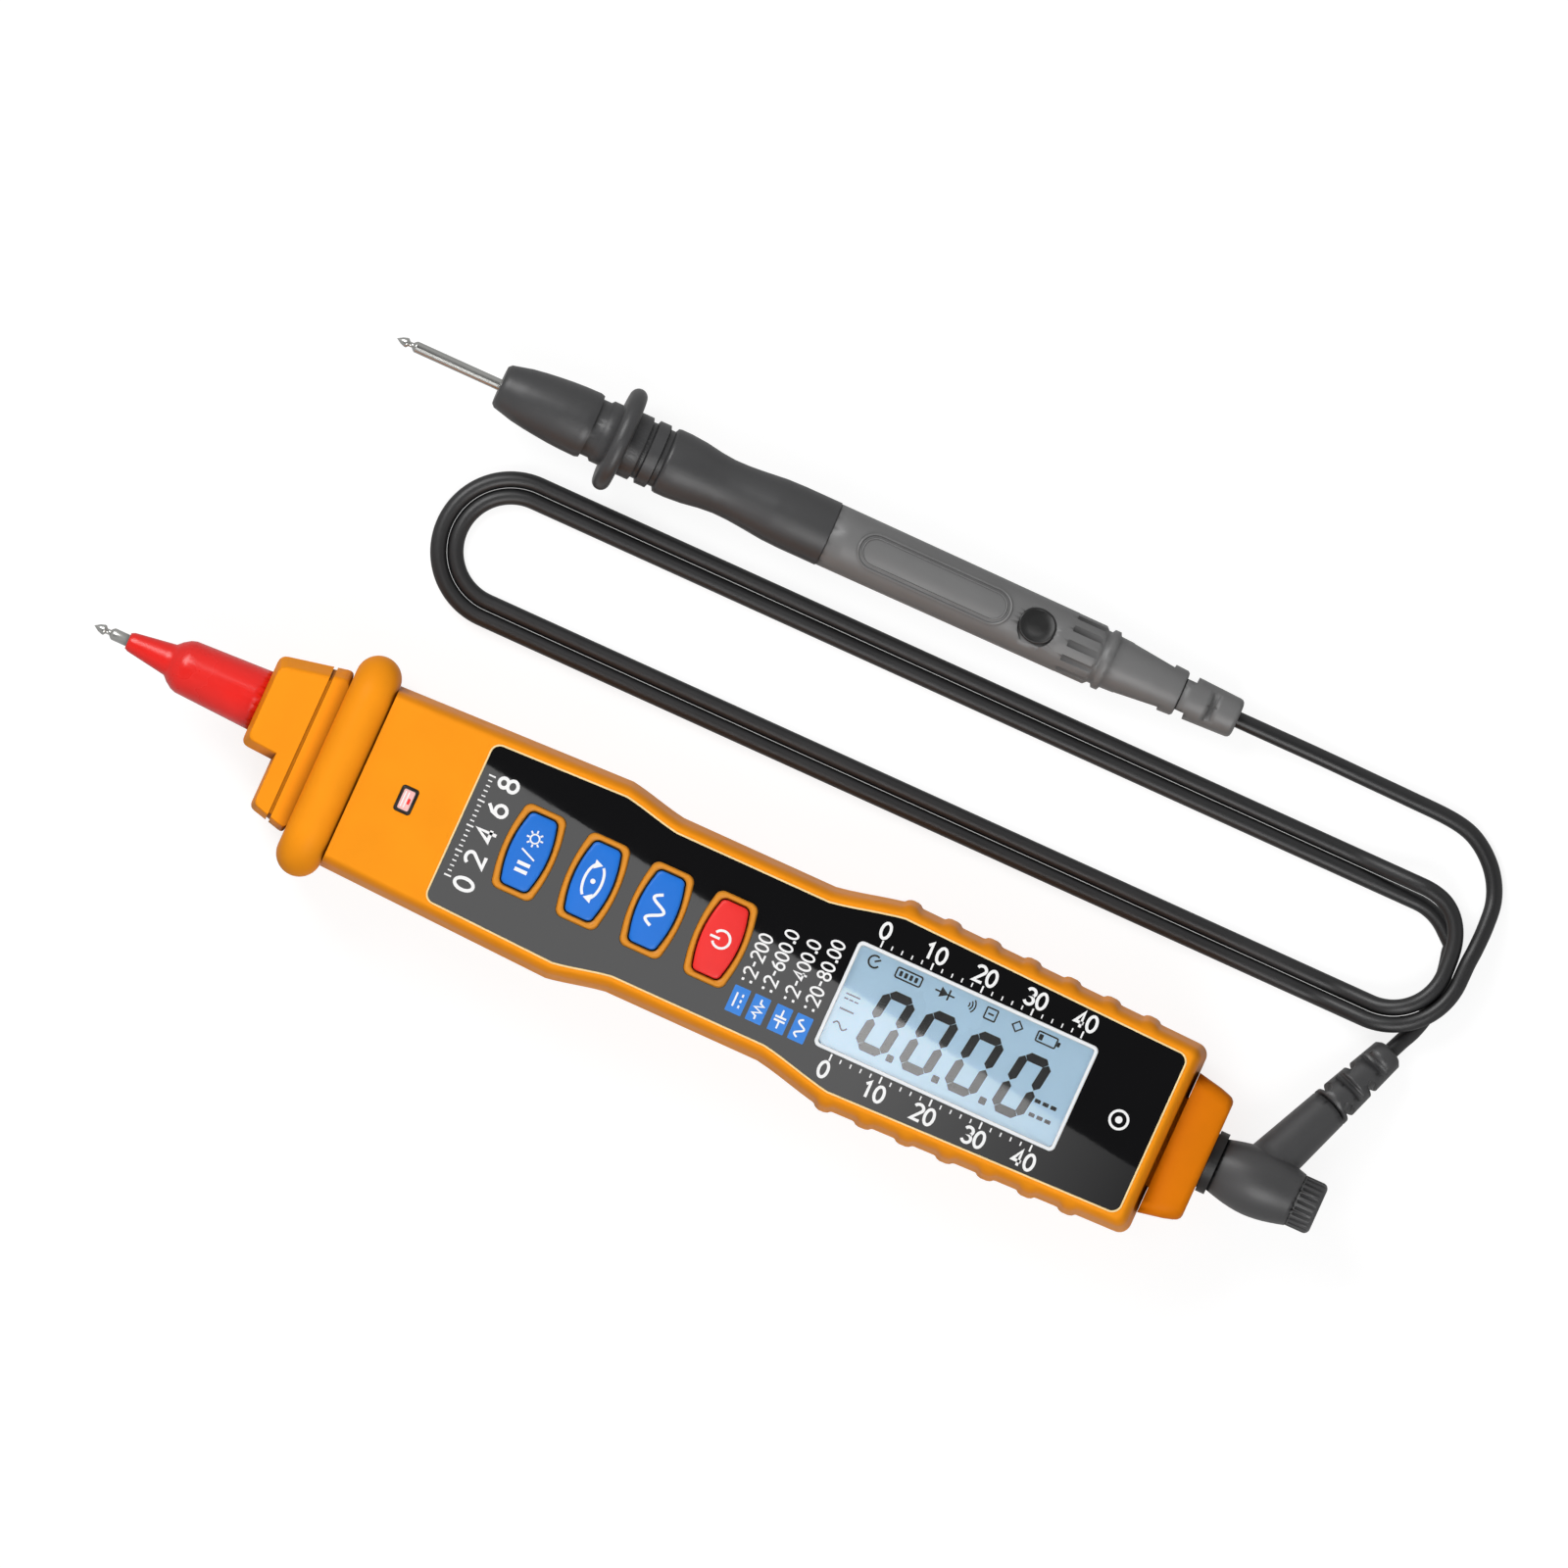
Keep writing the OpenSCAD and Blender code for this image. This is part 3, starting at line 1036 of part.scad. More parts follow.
// Pen pieces; their tables hold shares of the length and of the radius or of its growth
pen_bore_r = pen_core_r + slip;
pen_root_r = pen_needle_d / 2 + needle_step + slip;
pen_edge = 0.5;
pen_lip = 0.2;
pen_socket_l = 3;                                // how far the handle's core reaches into the nose
pen_needle_end = 4;                              // needle's rear end in front of the nose's rear end
pen_core_gap = 0.8;
pen_groove_l = 1.5;
pen_groove_d = 0.75;
pen_collar_d = 0.3;
pen_nose_shares = [[0.24, 0.45], [0.38, 0.64], [0.52, 0.78], [0.66, 0.9], [0.8, 0.97], [0.96, 1]];
pen_grip_shares = [[0, 0.02], [0.064, 0.02], [0.07, 0.13], [0.09, 0.13], [0.097, 0.02], [0.15, 0.02],
    [0.157, 0.13], [0.178, 0.13], [0.187, 0.02], [0.2, 0], [0.25, 0], [0.33, 0.04], [0.41, 0.12],
        [0.48, 0.16],
    [0.55, 0.15], [0.64, 0.1], [0.73, 0.04], [0.82, 0.02], [1, 0.02]];
module pen_needle() color("silver") in_pen(pen_tip_x)
    needle(pen_needle_d, pen_needle_out, pen_nose_l - pen_needle_end);
module pen_nose() color("#2c2c2c") in_pen(pen_nose_x) rotate_extrude() polygon(concat(
    [[pen_root_r, 0], [pen_nose_d / 2 - pen_edge, 0], [pen_nose_d / 2, pen_edge]],
    [for (v = pen_nose_shares) [lerp(pen_nose_d, pen_d, v[1]) / 2, v[0] * pen_nose_l]],
    [[pen_d / 2 - pen_lip, pen_nose_l], [pen_bore_r, pen_nose_l], [pen_bore_r, pen_nose_l - pen_socket_l],
    [pen_root_r, pen_nose_l - pen_socket_l]]));
module pen_guard() color("#2c2c2c") in_pen(pen_collar_x) rotate_extrude() polygon(concat(
    [[pen_bore_r, 0], [pen_d / 2 - pen_groove_d, 0], [pen_d / 2 - pen_groove_d, pen_groove_l],
    [pen_d / 2 - pen_collar_d, pen_groove_l + pen_groove_d / 2], [pen_d / 2 - pen_collar_d, pen_collar_l]],
    [for (a = [-90:15:90])
        [pen_flange_d / 2 - pen_rim * (1 - cos(a)), pen_collar_l + pen_rim * (1 + sin(a))]],
    [[pen_bore_r, pen_collar_l + pen_flange_t]]));
module pen_grip() color("#2c2c2c") in_pen(pen_grip_x) rotate_extrude() polygon(concat(
    [[pen_bore_r, 0]], [for (v = pen_grip_shares) [pen_d / 2 * (1 - v[1]), v[0] * pen_grip_l]],
    [[pen_bore_r, pen_grip_l]]));
flutes = 12;
flute_r = 0.75;
flute_out = 0.2;
flute_l = 6.2;
handle_draft = 0.2;
handle_step = 0.8;                               // neck on both sides of the ring
handle_step_l = 0.6;
ring_edge = 0.3;
tail_r0 = 4.5;
tail_r1 = 3.9;
tail_edge = 0.3;
tail_flat_l = 7.6;                               // long flats that deepen to the rear
tail_flat_back = 2.4;
tail_flat_r0 = 4.3;
tail_flat_r1 = 3.5;
inlay_share = 0.757;
inlay_x = pen_handle_l * inlay_share;
inlay_sink = 0.15;
inlay_depth = 1;
tail_z = pen_handle_l + pen_ring_w;              // tail's start, measured along the handle
module pen_handle() color("#8c8c8c") in_pen(pen_handle_x) difference() {
    union() {
        rotate_extrude() polygon([
            [0, seat], [pen_handle_d / 2, seat],
                [pen_handle_d / 2 - handle_draft, pen_handle_l - 2 * handle_step_l],
            [pen_handle_d / 2 - handle_step, pen_handle_l - handle_step_l],
                [pen_handle_d / 2 - handle_step, pen_handle_l],
            [pen_ring_d / 2, pen_handle_l + ring_edge], [pen_ring_d / 2, tail_z - ring_edge],
            [tail_r0, tail_z], [tail_r1, tail_z + pen_tail_l - tail_edge],
            [tail_r1 - tail_edge, tail_z + pen_tail_l], [0, tail_z + pen_tail_l]]);
        core_l = pen_grip_l + pen_flange_t + pen_collar_l + pen_socket_l - pen_core_gap / 4;
        translate([0, 0, -core_l]) cylinder(r = pen_core_r, h = core_l + over);
    }
    for (i = [0:flutes - 1]) rotate([0, 0, 360 * i / flutes])
        translate([pen_handle_d / 2 + flute_out, 0, pen_handle_l - flute_l])
            cylinder(r = flute_r, h = flute_l, $fn = 16);
    for (a = [90, 270]) rotate([0, 0, a])
        translate([tail_flat_r0, -tail_r0, tail_z + tail_flat_back])
            rotate([0, -atan((tail_flat_r0 - tail_flat_r1) / tail_flat_l), 0])
                cube([tail_r0, 2 * tail_r0, tail_flat_l]);
    translate([-pen_handle_d, 0, inlay_x]) rotate([0, 90, 0])
        cylinder(r = inlay_d / 2 + slip, h = pen_handle_d / 2 + inlay_depth);
}
module pen_inlay() color("#222222") in_pen(pen_handle_x) intersection() {
    translate([inlay_depth - pen_handle_d / 2, 0, inlay_x]) rotate([0, -90, 0])
        translate([0, 0, inlay_depth - pen_handle_d / 2]) cylinder(r = inlay_d / 2, h = pen_handle_d);
    cylinder(r = pen_handle_d / 2 - inlay_sink, h = pen_handle_l);
    translate([-pen_handle_d - pen_handle_d / 2 + inlay_depth - slip, 0, inlay_x])
        cube([2 * pen_handle_d, pen_handle_d, pen_handle_d], center = true);
}
cap_r0 = 3.75;
cap_r1 = 3.35;
cap_round_r = 0.8;
cap_notch_l = 1.8;                               // notches at both sides of the cap's front end
cap_core = 2.7;
slot_w = 1;                                      // slots above and below, behind the notches
slot_back = 4.9;
module pen_end_cap() color("#8c8c8c") in_pen(pen_cap_x) difference() {
    rotate_extrude() polygon(concat([[0, seat], [cap_r0, seat]],
        [for (a = [0:30:90]) [cap_r1 - cap_round_r * (1 - cos(a)), pen_end_l - cap_round_r * (1 - sin(a))]],
        [[0, pen_end_l]]));
    for (s = [-1, 1]) {
        translate([0, s * (cap_core + cap_r0), cap_notch_l / 2])
            cube([2 * pen_handle_d, 2 * cap_r0, cap_notch_l], center = true);
        translate([s * (cap_core + cap_r0), 0, slot_back + slot_w / 2])
            cube([2 * cap_r0, 2 * pen_handle_d, slot_w], center = true);
    }
}

front_shell();
rear_shell();
finger_guard();
nose_cap();
jack_housing();
panel_overlay();
lcd_bezel();
lcd_lens();
lcd_glass();
backlight_panel();
zebra_strip();
main_pcb();
mcu_chip();
tact_switches();
button_hold();
button_select();
button_hz();
button_power();
led_bezel();
led_lens();
indicator_led();
ncv_antenna();
probe_sleeve();
probe_needle();
probe_contact();
jack_insulator();
jack_sleeve();
jack_tab();
buzzer();
ptc_thermistor();
battery_tray();
battery_cells();
battery_springs();
battery_plates();
battery_door();
battery_door_screw();
case_screws();
plug_body();
plug_collar();
plug_shroud();
plug_pin();
plug_end_cap();
plug_strain_relief();
cable_plug_tail();
cable_hank();
cable_pen_tail();
pen_needle();
pen_nose();
pen_guard();
pen_grip();
pen_handle();
pen_end_cap();
pen_inlay();
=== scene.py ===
import math
import bmesh
import bpy
from mathutils import Matrix, Vector


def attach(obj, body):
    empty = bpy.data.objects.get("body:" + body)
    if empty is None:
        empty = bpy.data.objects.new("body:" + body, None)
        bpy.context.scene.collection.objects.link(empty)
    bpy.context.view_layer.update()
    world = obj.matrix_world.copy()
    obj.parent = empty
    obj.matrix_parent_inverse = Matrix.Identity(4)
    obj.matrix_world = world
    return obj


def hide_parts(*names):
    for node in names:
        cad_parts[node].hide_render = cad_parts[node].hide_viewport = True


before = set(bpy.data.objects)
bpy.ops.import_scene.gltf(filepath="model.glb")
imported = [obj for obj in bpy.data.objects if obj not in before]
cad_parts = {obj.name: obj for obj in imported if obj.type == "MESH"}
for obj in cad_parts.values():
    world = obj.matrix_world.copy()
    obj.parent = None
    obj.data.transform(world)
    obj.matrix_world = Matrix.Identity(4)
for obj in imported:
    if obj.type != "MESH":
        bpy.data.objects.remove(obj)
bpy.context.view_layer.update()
mm = 0.001
print("frame loaded:", len(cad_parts), "nodes")


def linked(name, data):
    obj = bpy.data.objects.new(name, data)
    bpy.context.scene.collection.objects.link(obj)
    return obj


# Camera: straight down, turned so that the meter lies as in the photograph
shot = {"turn": 24.4, "middle": (12.34, 27.14), "span": 253.97, "height": 450}
camera = linked("camera", bpy.data.cameras.new("camera"))
camera.data.type = "ORTHO"
camera.data.ortho_scale = shot["span"] * mm
camera.location = (shot["middle"][0] * mm, shot["middle"][1] * mm, shot["height"] * mm)
camera.rotation_euler = (0, 0, math.radians(shot["turn"]))
bpy.context.scene.camera = camera


# Small helpers for shapes; lengths are in millimetres until the mesh is made
def share(x, a, b):
    return min(1, max(0, (x - a) / (b - a)))


def ease(t):
    return t * t * (3 - 2 * t)


def mix(a, b, t):
    return a + (b - a) * t


def roundRect(cx, cy, hx, hy, r, steps=6):
    out = []
    for sx, sy, turn in ((1, 1, 0), (-1, 1, 90), (-1, -1, 180), (1, -1, 270)):
        for k in range(steps + 1):
            a = math.radians(turn + 90 * k / steps)
            out.append(Vector((cx + sx * (hx - r) + r * math.cos(a), cy + sy * (hy - r) + r * math.sin(a))))
    return out


def meshOf(name, verts, faces=(), edges=()):
    mesh = bpy.data.meshes.new(name)
    mesh.from_pydata([Vector(v) * mm for v in verts], list(edges), list(faces))
    return mesh


def evaluated(obj):
    return bpy.data.meshes.new_from_object(obj.evaluated_get(bpy.context.evaluated_depsgraph_get()))


weld = {"gap": 0.000004, "sliver": 0.000002}  # in metres


def tidy(mesh, crease=35):
    bm = bmesh.new()
    bm.from_mesh(mesh)
    bmesh.ops.remove_doubles(bm, verts=bm.verts, dist=weld["gap"])
    bmesh.ops.dissolve_degenerate(bm, edges=bm.edges, dist=weld["sliver"])
    bmesh.ops.recalc_face_normals(bm, faces=bm.faces)
    bm.to_mesh(mesh)
    bm.free()
    mesh.shade_smooth()
    mesh.set_sharp_from_angle(angle=math.radians(crease))


def dressed(obj, finish, body, replaces=(), crease=35):
    if crease:
        tidy(obj.data, crease)
    obj.data.materials.clear()
    obj.data.materials.append(finish)
    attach(obj, body)
    if replaces:
        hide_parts(*replaces)
    return obj


def piece(name, verts, faces, finish, body, replaces=(), slot=None, crease=35):
    return dressed(linked(name, meshOf(name, verts, faces)), finish, body, replaces, crease)


def loftParts(rings, looped=False):
    n = len(rings[0])
    last = (len(rings) - 1) * n
    verts = [v for ring in rings for v in ring]
    faces = [(k + j, k + (j + 1) % n, k + n + (j + 1) % n, k + n + j) for k in range(0, last, n) for j in range(n)]
    if looped:
        faces += [(last + j, last + (j + 1) % n, (j + 1) % n, j) for j in range(n)]
    else:
        faces += [tuple(range(n)), tuple(last + j for j in range(n))]
    return verts, faces


def loft(name, rings, finish, body, replaces=(), slot=None, looped=False, crease=35):
    return piece(name, *loftParts(rings, looped), finish, body, replaces, slot, crease)


def joinParts(*parts):
    verts, faces = [], []
    for v, f in parts:
        base = len(verts)
        verts += list(v)
        faces += [tuple(i + base for i in face) for face in f]
    return verts, faces


def cut(target, *cutters):
    for cutter in cutters:
        mod = target.modifiers.new("cut", "BOOLEAN")
        mod.operation, mod.solver, mod.object = "DIFFERENCE", "EXACT", cutter
        baked = evaluated(target)
        target.modifiers.remove(mod)
        target.data = baked
        bpy.data.objects.remove(cutter)


def loose(name, verts, faces):
    obj = linked(name, meshOf(name, verts, faces))
    tidy(obj.data)
    return obj


def prism(outline, z0, z1):
    return loftParts([[(p[0], p[1], z) for p in outline] for z in (z0, z1)])


# Route of the cord, as in part.scad, with its two runs as close as in the photograph
cordRoute = {"thick": 2.7, "floor": 1.35, "frontX": -43.5, "rearX": 113.5, "midY": 43.1, "inner": 8.98,
             "outer": 11.72, "rise": 3.2, "joinAt": 50, "outFrom": 3, "outTo": 75}
hump = {"up": (-24, -9), "down": (-29, -14), "end": (-28.5, -13.5)}  # along the cord from each crossing
plugArm = {"angle": 68.4, "droop": 19.7, "length": 31.9, "from": (107.8, 0, 13)}
swing, droop = math.radians(plugArm["angle"]), math.radians(plugArm["droop"])
armWay = Vector((math.cos(swing), math.sin(swing) * math.cos(droop), -math.sin(swing) * math.sin(droop)))
armEnd = Vector(plugArm["from"]) + armWay * plugArm["length"]
penLie = {"restX": -34.95, "y": 67, "flangeR": 8.9, "ringR": 5.1, "rim": 1.45, "ringX": 51.6, "endX": 75.0}
penTilt = math.asin((penLie["flangeR"] - penLie["ringR"]) / (penLie["ringX"] - penLie["restX"]))
penWay = Vector((math.cos(penTilt), 0, -math.sin(penTilt)))
penRest = Vector((penLie["restX"], penLie["y"],
                  (penLie["flangeR"] - penLie["rim"]) * math.cos(penTilt) + penLie["rim"] + 0.05))


def penSpot(x):
    return penRest + penWay * (x - penLie["restX"])


def hankPoint(q):
    c = cordRoute
    lap = q % 4
    angle = 180 * lap - 90
    if q < 4.5:
        r = c["inner"]
    elif q > 5:
        r = c["outer"]
    else:
        r = mix(c["inner"], c["outer"], ease(share(angle, c["outFrom"], c["outTo"])))
    run = c["rearX"] - c["frontX"]

    def way(d, radius):
        if abs(d) <= 0.5:
            return d * math.pi * radius
        return math.copysign(math.pi * radius / 2 + (abs(d) - 0.5) * run, d)

    first, last = way(q - 4.5, (c["inner"] + c["outer"]) / 2), way(q - 8.5, c["outer"])
    high = max(ease(share(first, *hump["up"])) * ease(share(-first, *hump["down"])),
               ease(share(last, *hump["end"])))
    z = c["floor"] + c["rise"] * high
    a = math.radians(angle if lap <= 1 else 180 * lap - 270)
    if lap <= 1:
        return Vector((c["rearX"] + r * math.cos(a), c["midY"] + r * math.sin(a), z))
    if lap <= 2:
        return Vector((mix(c["rearX"], c["frontX"], lap - 1), c["midY"] + r, z))
    if lap <= 3:
        return Vector((c["frontX"] + r * math.cos(a), c["midY"] + r * math.sin(a), z))
    return Vector((mix(c["frontX"], c["rearX"], lap - 3), c["midY"] - r, z))


startLap = (cordRoute["joinAt"] + 90) / 180
hankLaps = [startLap + (1 - startLap) * i / 5 for i in range(5)]
for turn in (0, 4):
    if turn:
        hankLaps += [turn + i / 16 for i in range(16)]
    hankLaps += [turn + 1, turn + 1.04, turn + 1.08, turn + 1.5]
    hankLaps += [turn + 2 + i / 12 for i in range(12)] + [turn + 3, turn + 3.5]
    hankLaps += [turn + 3 + s for s in (0.86, 0.88, 0.9, 0.92, 0.94, 0.96, 0.98)]
hankLaps += [8 + i / 16 for i in range(9)]
joinTurn = math.radians(cordRoute["joinAt"])
joinWay = Vector((-math.sin(joinTurn), math.cos(joinTurn), 0))
hankFirst = hankPoint(startLap) - cordRoute["thick"] * joinWay
hankLast = hankPoint(8.5) + Vector((0, cordRoute["thick"], 0))
plugTail = [armEnd, armEnd + cordRoute["thick"] * armWay, (121.6, 32.6, 1.8), (122.4, 35.4, 1.4),
            (122.7, 38.4, 1.35), (122.7, 41.4, 1.35), (122.3, 44.4, 1.35), (121.8, 46.6, 1.35), hankFirst]
penTail = [hankLast, (125.4, 49, 4.2), (125.4, 53, 2.9), (124.9, 57.2, 1.7), (123.2, 60.8, 1.35),
           (120.4, 63.8, 1.35), (117, 65.8, 1.35), (113, 66.6, 1.35), (106, 66.8, 1.35), (98, 66.9, 1.35),
           (90, 67, 2), (82, 67, 3.3), penSpot(penLie["endX"]) + cordRoute["thick"] * penWay,
           penSpot(penLie["endX"])]


def tailKnots(points, start, end):
    points = [Vector(p) for p in points]
    between = [(points[i + 1] - points[i - 1]).normalized() for i in range(len(start), len(points) - len(end))]
    return list(zip(points, start + between + end))


def knots():
    step = 0.002
    laps = [(hankPoint(q), (hankPoint(q + step) - hankPoint(q - step)).normalized()) for q in hankLaps]
    return tailKnots(plugTail, [armWay] * 2, [joinWay]) + laps \
        + tailKnots(penTail, [Vector((0, 1, 0))], [-penWay] * 2)


def makeCord(finish):
    route = knots()
    curve = bpy.data.curves.new("testCord", "CURVE")
    curve.dimensions = "3D"
    spline = curve.splines.new("BEZIER")
    spline.bezier_points.add(len(route) - 1)
    for i, (p, way) in enumerate(route):
        b = spline.bezier_points[i]
        b.handle_left_type = b.handle_right_type = "FREE"
        back = (p - route[i - 1][0]).length / 3 if i else 0.3
        ahead = (route[i + 1][0] - p).length / 3 if i < len(route) - 1 else 0.3
        b.co, b.handle_left, b.handle_right = p * mm, (p - way * back) * mm, (p + way * ahead) * mm
    curve.bevel_depth = cordRoute["thick"] / 2 * mm
    curve.bevel_resolution = curve.resolution_u = 6
    curve.use_fill_caps = True
    cord = linked("testCord", curve)
    curve.materials.append(finish)
    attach(cord, "test_lead")
    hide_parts("cable_plug_tail", "cable_hank", "cable_pen_tail")
    length = sum((b[0] - a[0]).length for a, b in zip(route, route[1:]))
    print("cord of", round(length), "mm")
    return cord, length


# Node groups that several finishes or pieces share
def newGroup(family, name, inputs, outputs):
    group = bpy.data.node_groups.new(name, family + "NodeTree")
    for label, kind, value in inputs:
        socket = group.interface.new_socket(label, in_out="INPUT", socket_type="NodeSocket" + kind)
        if value is not None:
            socket.default_value = value
    for label, kind in outputs:
        group.interface.new_socket(label, in_out="OUTPUT", socket_type="NodeSocket" + kind)
    return group, group.nodes.new("NodeGroupInput"), group.nodes.new("NodeGroupOutput")


def made(tree, *kinds, family="ShaderNode"):
    return [tree.nodes.new(family + kind) for kind in kinds]


def put(node, **values):
    for label, value in values.items():
        node.inputs[label.replace("_", " ")].default_value = value


def wire(tree, *links):
    for a, b in links:
        tree.links.new(a, b)


def moulded():
    group, given, result = newGroup(
        "Shader", "mouldedSkin",
        (("Grain", "Float", 2600.0), ("Depth", "Float", 0.12), ("Smooth", "Float", 0.35), ("Dull", "Float", 0.5)),
        (("Roughness", "Float"), ("Normal", "Vector")))
    spot, fine, broad, rough, bump = made(group, "TexCoord", "TexNoise", "TexNoise", "MapRange", "Bump")
    put(fine, Detail=3)
    put(broad, Detail=4, Scale=90)
    put(rough, From_Min=0.3, From_Max=0.7)
    put(bump, Distance=0.00006)
    wire(group, (spot.outputs["Object"], fine.inputs["Vector"]), (spot.outputs["Object"], broad.inputs["Vector"]),
         (given.outputs["Grain"], fine.inputs["Scale"]), (broad.outputs["Fac"], rough.inputs["Value"]),
         (given.outputs["Smooth"], rough.inputs["To Min"]), (given.outputs["Dull"], rough.inputs["To Max"]),
         (fine.outputs["Fac"], bump.inputs["Height"]), (given.outputs["Depth"], bump.inputs["Strength"]),
         (rough.outputs["Result"], result.inputs["Roughness"]), (bump.outputs["Normal"], result.inputs["Normal"]))
    return group


# Colour times a value that is mapped to a range from 1 - amount to 1
def scaled(group, given, result, value, amount, low, high):
    less, gain, tint = made(group, "Math", "MapRange", "VectorMath")
    less.operation, tint.operation = "SUBTRACT", "SCALE"
    less.inputs[0].default_value = 1
    put(gain, From_Min=low, From_Max=high, To_Max=1)
    wire(group, (given.outputs[amount], less.inputs[1]), (less.outputs[0], gain.inputs["To Min"]),
         (value, gain.inputs["Value"]), (given.outputs["Colour"], tint.inputs[0]),
         (gain.outputs["Result"], tint.inputs["Scale"]), (tint.outputs[0], result.inputs["Colour"]))
    return group


def handled():
    group, given, result = newGroup(
        "Shader", "handledTone",
        (("Colour", "Color", (0.5, 0.5, 0.5, 1)), ("Shift", "Float", 0.06), ("Size", "Float", 120.0)),
        (("Colour", "Color"),))
    spot, cloud = made(group, "TexCoord", "TexNoise")
    put(cloud, Detail=5)
    wire(group, (spot.outputs["Object"], cloud.inputs["Vector"]), (given.outputs["Size"], cloud.inputs["Scale"]))
    return scaled(group, given, result, cloud.outputs["Fac"], "Shift", 0.35, 0.65)


# Painted shade: ambient occlusion darkens the colour in creases, between parts and beside nearby surfaces
def seamed():
    group, given, result = newGroup(
        "Shader", "paintedCreaseShade",
        (("Colour", "Color", (0.5, 0.5, 0.5, 1)), ("Reach", "Float", 0.0025), ("Strength", "Float", 0.5)),
        (("Colour", "Color"),))
    near, = made(group, "AmbientOcclusion")
    near.samples = 6
    wire(group, (given.outputs["Reach"], near.inputs["Distance"]))
    return scaled(group, given, result, near.outputs["AO"], "Strength", 0.35, 0.95)


mouldedSkin, handledTone, paintedCreaseShade = moulded(), handled(), seamed()


def tone(hexCode):
    channels = [int(hexCode[i:i + 2], 16) / 255 for i in (1, 3, 5)]
    return tuple(c / 12.92 if c <= 0.04045 else ((c + 0.055) / 1.055) ** 2.4 for c in channels) + (1,)


def finish(name, colour, smooth=0.3, dull=0.45, grain=2600, depth=0.12, shift=0.06, size=120, creaseShade=0.0,
           reach=1.5, **plain):
    mat = bpy.data.materials.new(name)
    mat.use_nodes = True
    tree = mat.node_tree
    shader = tree.nodes["Principled BSDF"]
    skin, shade = made(tree, "Group", "Group")
    skin.node_tree, shade.node_tree = mouldedSkin, handledTone
    put(skin, Grain=grain, Depth=depth, Smooth=smooth, Dull=dull)
    put(shade, Colour=tone(colour), Shift=shift, Size=size)
    wire(tree, (skin.outputs["Roughness"], shader.inputs["Roughness"]),
         (skin.outputs["Normal"], shader.inputs["Normal"]), (shade.outputs["Colour"], shader.inputs["Base Color"]))
    # Painted shade: the colour is darkened in creases and beside nearby parts
    if creaseShade:
        dark, = made(tree, "Group")
        dark.node_tree = paintedCreaseShade
        put(dark, Strength=creaseShade, Reach=reach * mm)
        wire(tree, (shade.outputs["Colour"], dark.inputs["Colour"]),
             (dark.outputs["Colour"], shader.inputs["Base Color"]))
    put(shader, **plain)
    return mat


# Finishes given a crease shade strength get painted shade in their creases and beside nearby parts
orange = finish("orangeMoulding", "#fd9a1b", 0.36, 0.52, 3000, 0.10, 0.05, creaseShade=0.6, reach=2.5,
                Specular_IOR_Level=0.05)
# Painted shade: the bezels are the body's plastic, made darker for the shade on their slopes
bezelShadedOrange = finish("bezelShadedMoulding", "#e0902a", 0.28, 0.4, 3000, 0.06, 0.05, creaseShade=0.6, reach=0.8,
                     Specular_IOR_Level=0.2)
# Painted shade: the jack housing is the body's plastic, made darker for the shade on its sloping top
jackShadedOrange = finish("jackShadedMoulding", "#ea800a", 0.36, 0.5, 3000, 0.1, 0.06, creaseShade=0.5, reach=2.0,
                    Specular_IOR_Level=0.06)
panelBlack = finish("panelGloss", "#08080a", 0.012, 0.02, 900, 0.003, 0.1)
capBlue = finish("capBlue", "#1c74d8", 0.3, 0.4, 2400, 0.06, Specular_IOR_Level=0.3)
capRed = finish("capRed", "#f4302e", 0.3, 0.4, 2400, 0.06, Specular_IOR_Level=0.3)
# Painted highlight: pale yellow for the bead that stands in for light caught on the panel's recess edge
edgeHighlight = finish("edgeHighlight", "#ffe2a6", 0.3, 0.4, 2400, 0.04, 0.04, Specular_IOR_Level=0.2)
inkWhite = finish("inkWhite", "#f4f4f4", 0.4, 0.5, 2000, 0.02, 0.02)
inkBlue = finish("inkBlue", "#2a80dc", 0.3, 0.4, 2000, 0.02, 0.02)
inkBlack = finish("inkBlack", "#101214", 0.3, 0.4, 2000, 0.02, 0.02)
frameWhite = finish("frameWhite", "#eef1f3", 0.3, 0.4, 2400, 0.05, 0.03)
# Painted light: a faint glow brightens the cell, which the glass window above keeps from the lamps
displayBlue = finish("displayBlue", "#bfe0f6", 0.2, 0.3, 1500, 0.02, 0.03, Emission_Color=tone("#b9dcf5"),
                     Emission_Strength=0.2)
sleeveRed = finish("sleeveRed", "#ee2019", 0.2, 0.3, 1200, 0.03, 0.06)
blackPlain = finish("blackPlain", "#161616", 0.35, 0.5, 2600, 0.08)
leadBlack = finish("leadBlack", "#454546", 0.33, 0.45, 2600, 0.1, 0.1, creaseShade=0.85, reach=1.2)
penBlack = finish("penBlack", "#404041", 0.34, 0.46, 2600, 0.1, 0.1, creaseShade=0.7, reach=1.2)
penGrey = finish("penGrey", "#737373", 0.36, 0.5, 2600, 0.1, 0.06, creaseShade=0.65, reach=1.0)
cordBlack = finish("cordRubber", "#232324", 0.34, 0.46, 1800, 0.05, 0.1, 60, 0.8, 1.0)
needleSteel = finish("needleSteel", "#bcbcb9", 0.2, 0.3, 4000, 0.02, 0.05, 200, Metallic=1.0)
screwSteel = finish("screwSteel", "#9d9d9b", 0.25, 0.4, 4000, 0.08, 0.1, 200, Metallic=1.0)
brass = finish("contactBrass", "#c9a24a", 0.2, 0.32, 3000, 0.05, 0.1, 200, Metallic=1.0)
lampPink = finish("lampWindow", "#fabfba", 0.2, 0.3, 1500, 0.02, 0.04)
boardGreen = finish("boardGreen", "#1d6b3a", 0.3, 0.4, 2000, 0.04, 0.1)
clear = bpy.data.materials.new("displayWindow")
clear.use_nodes = True
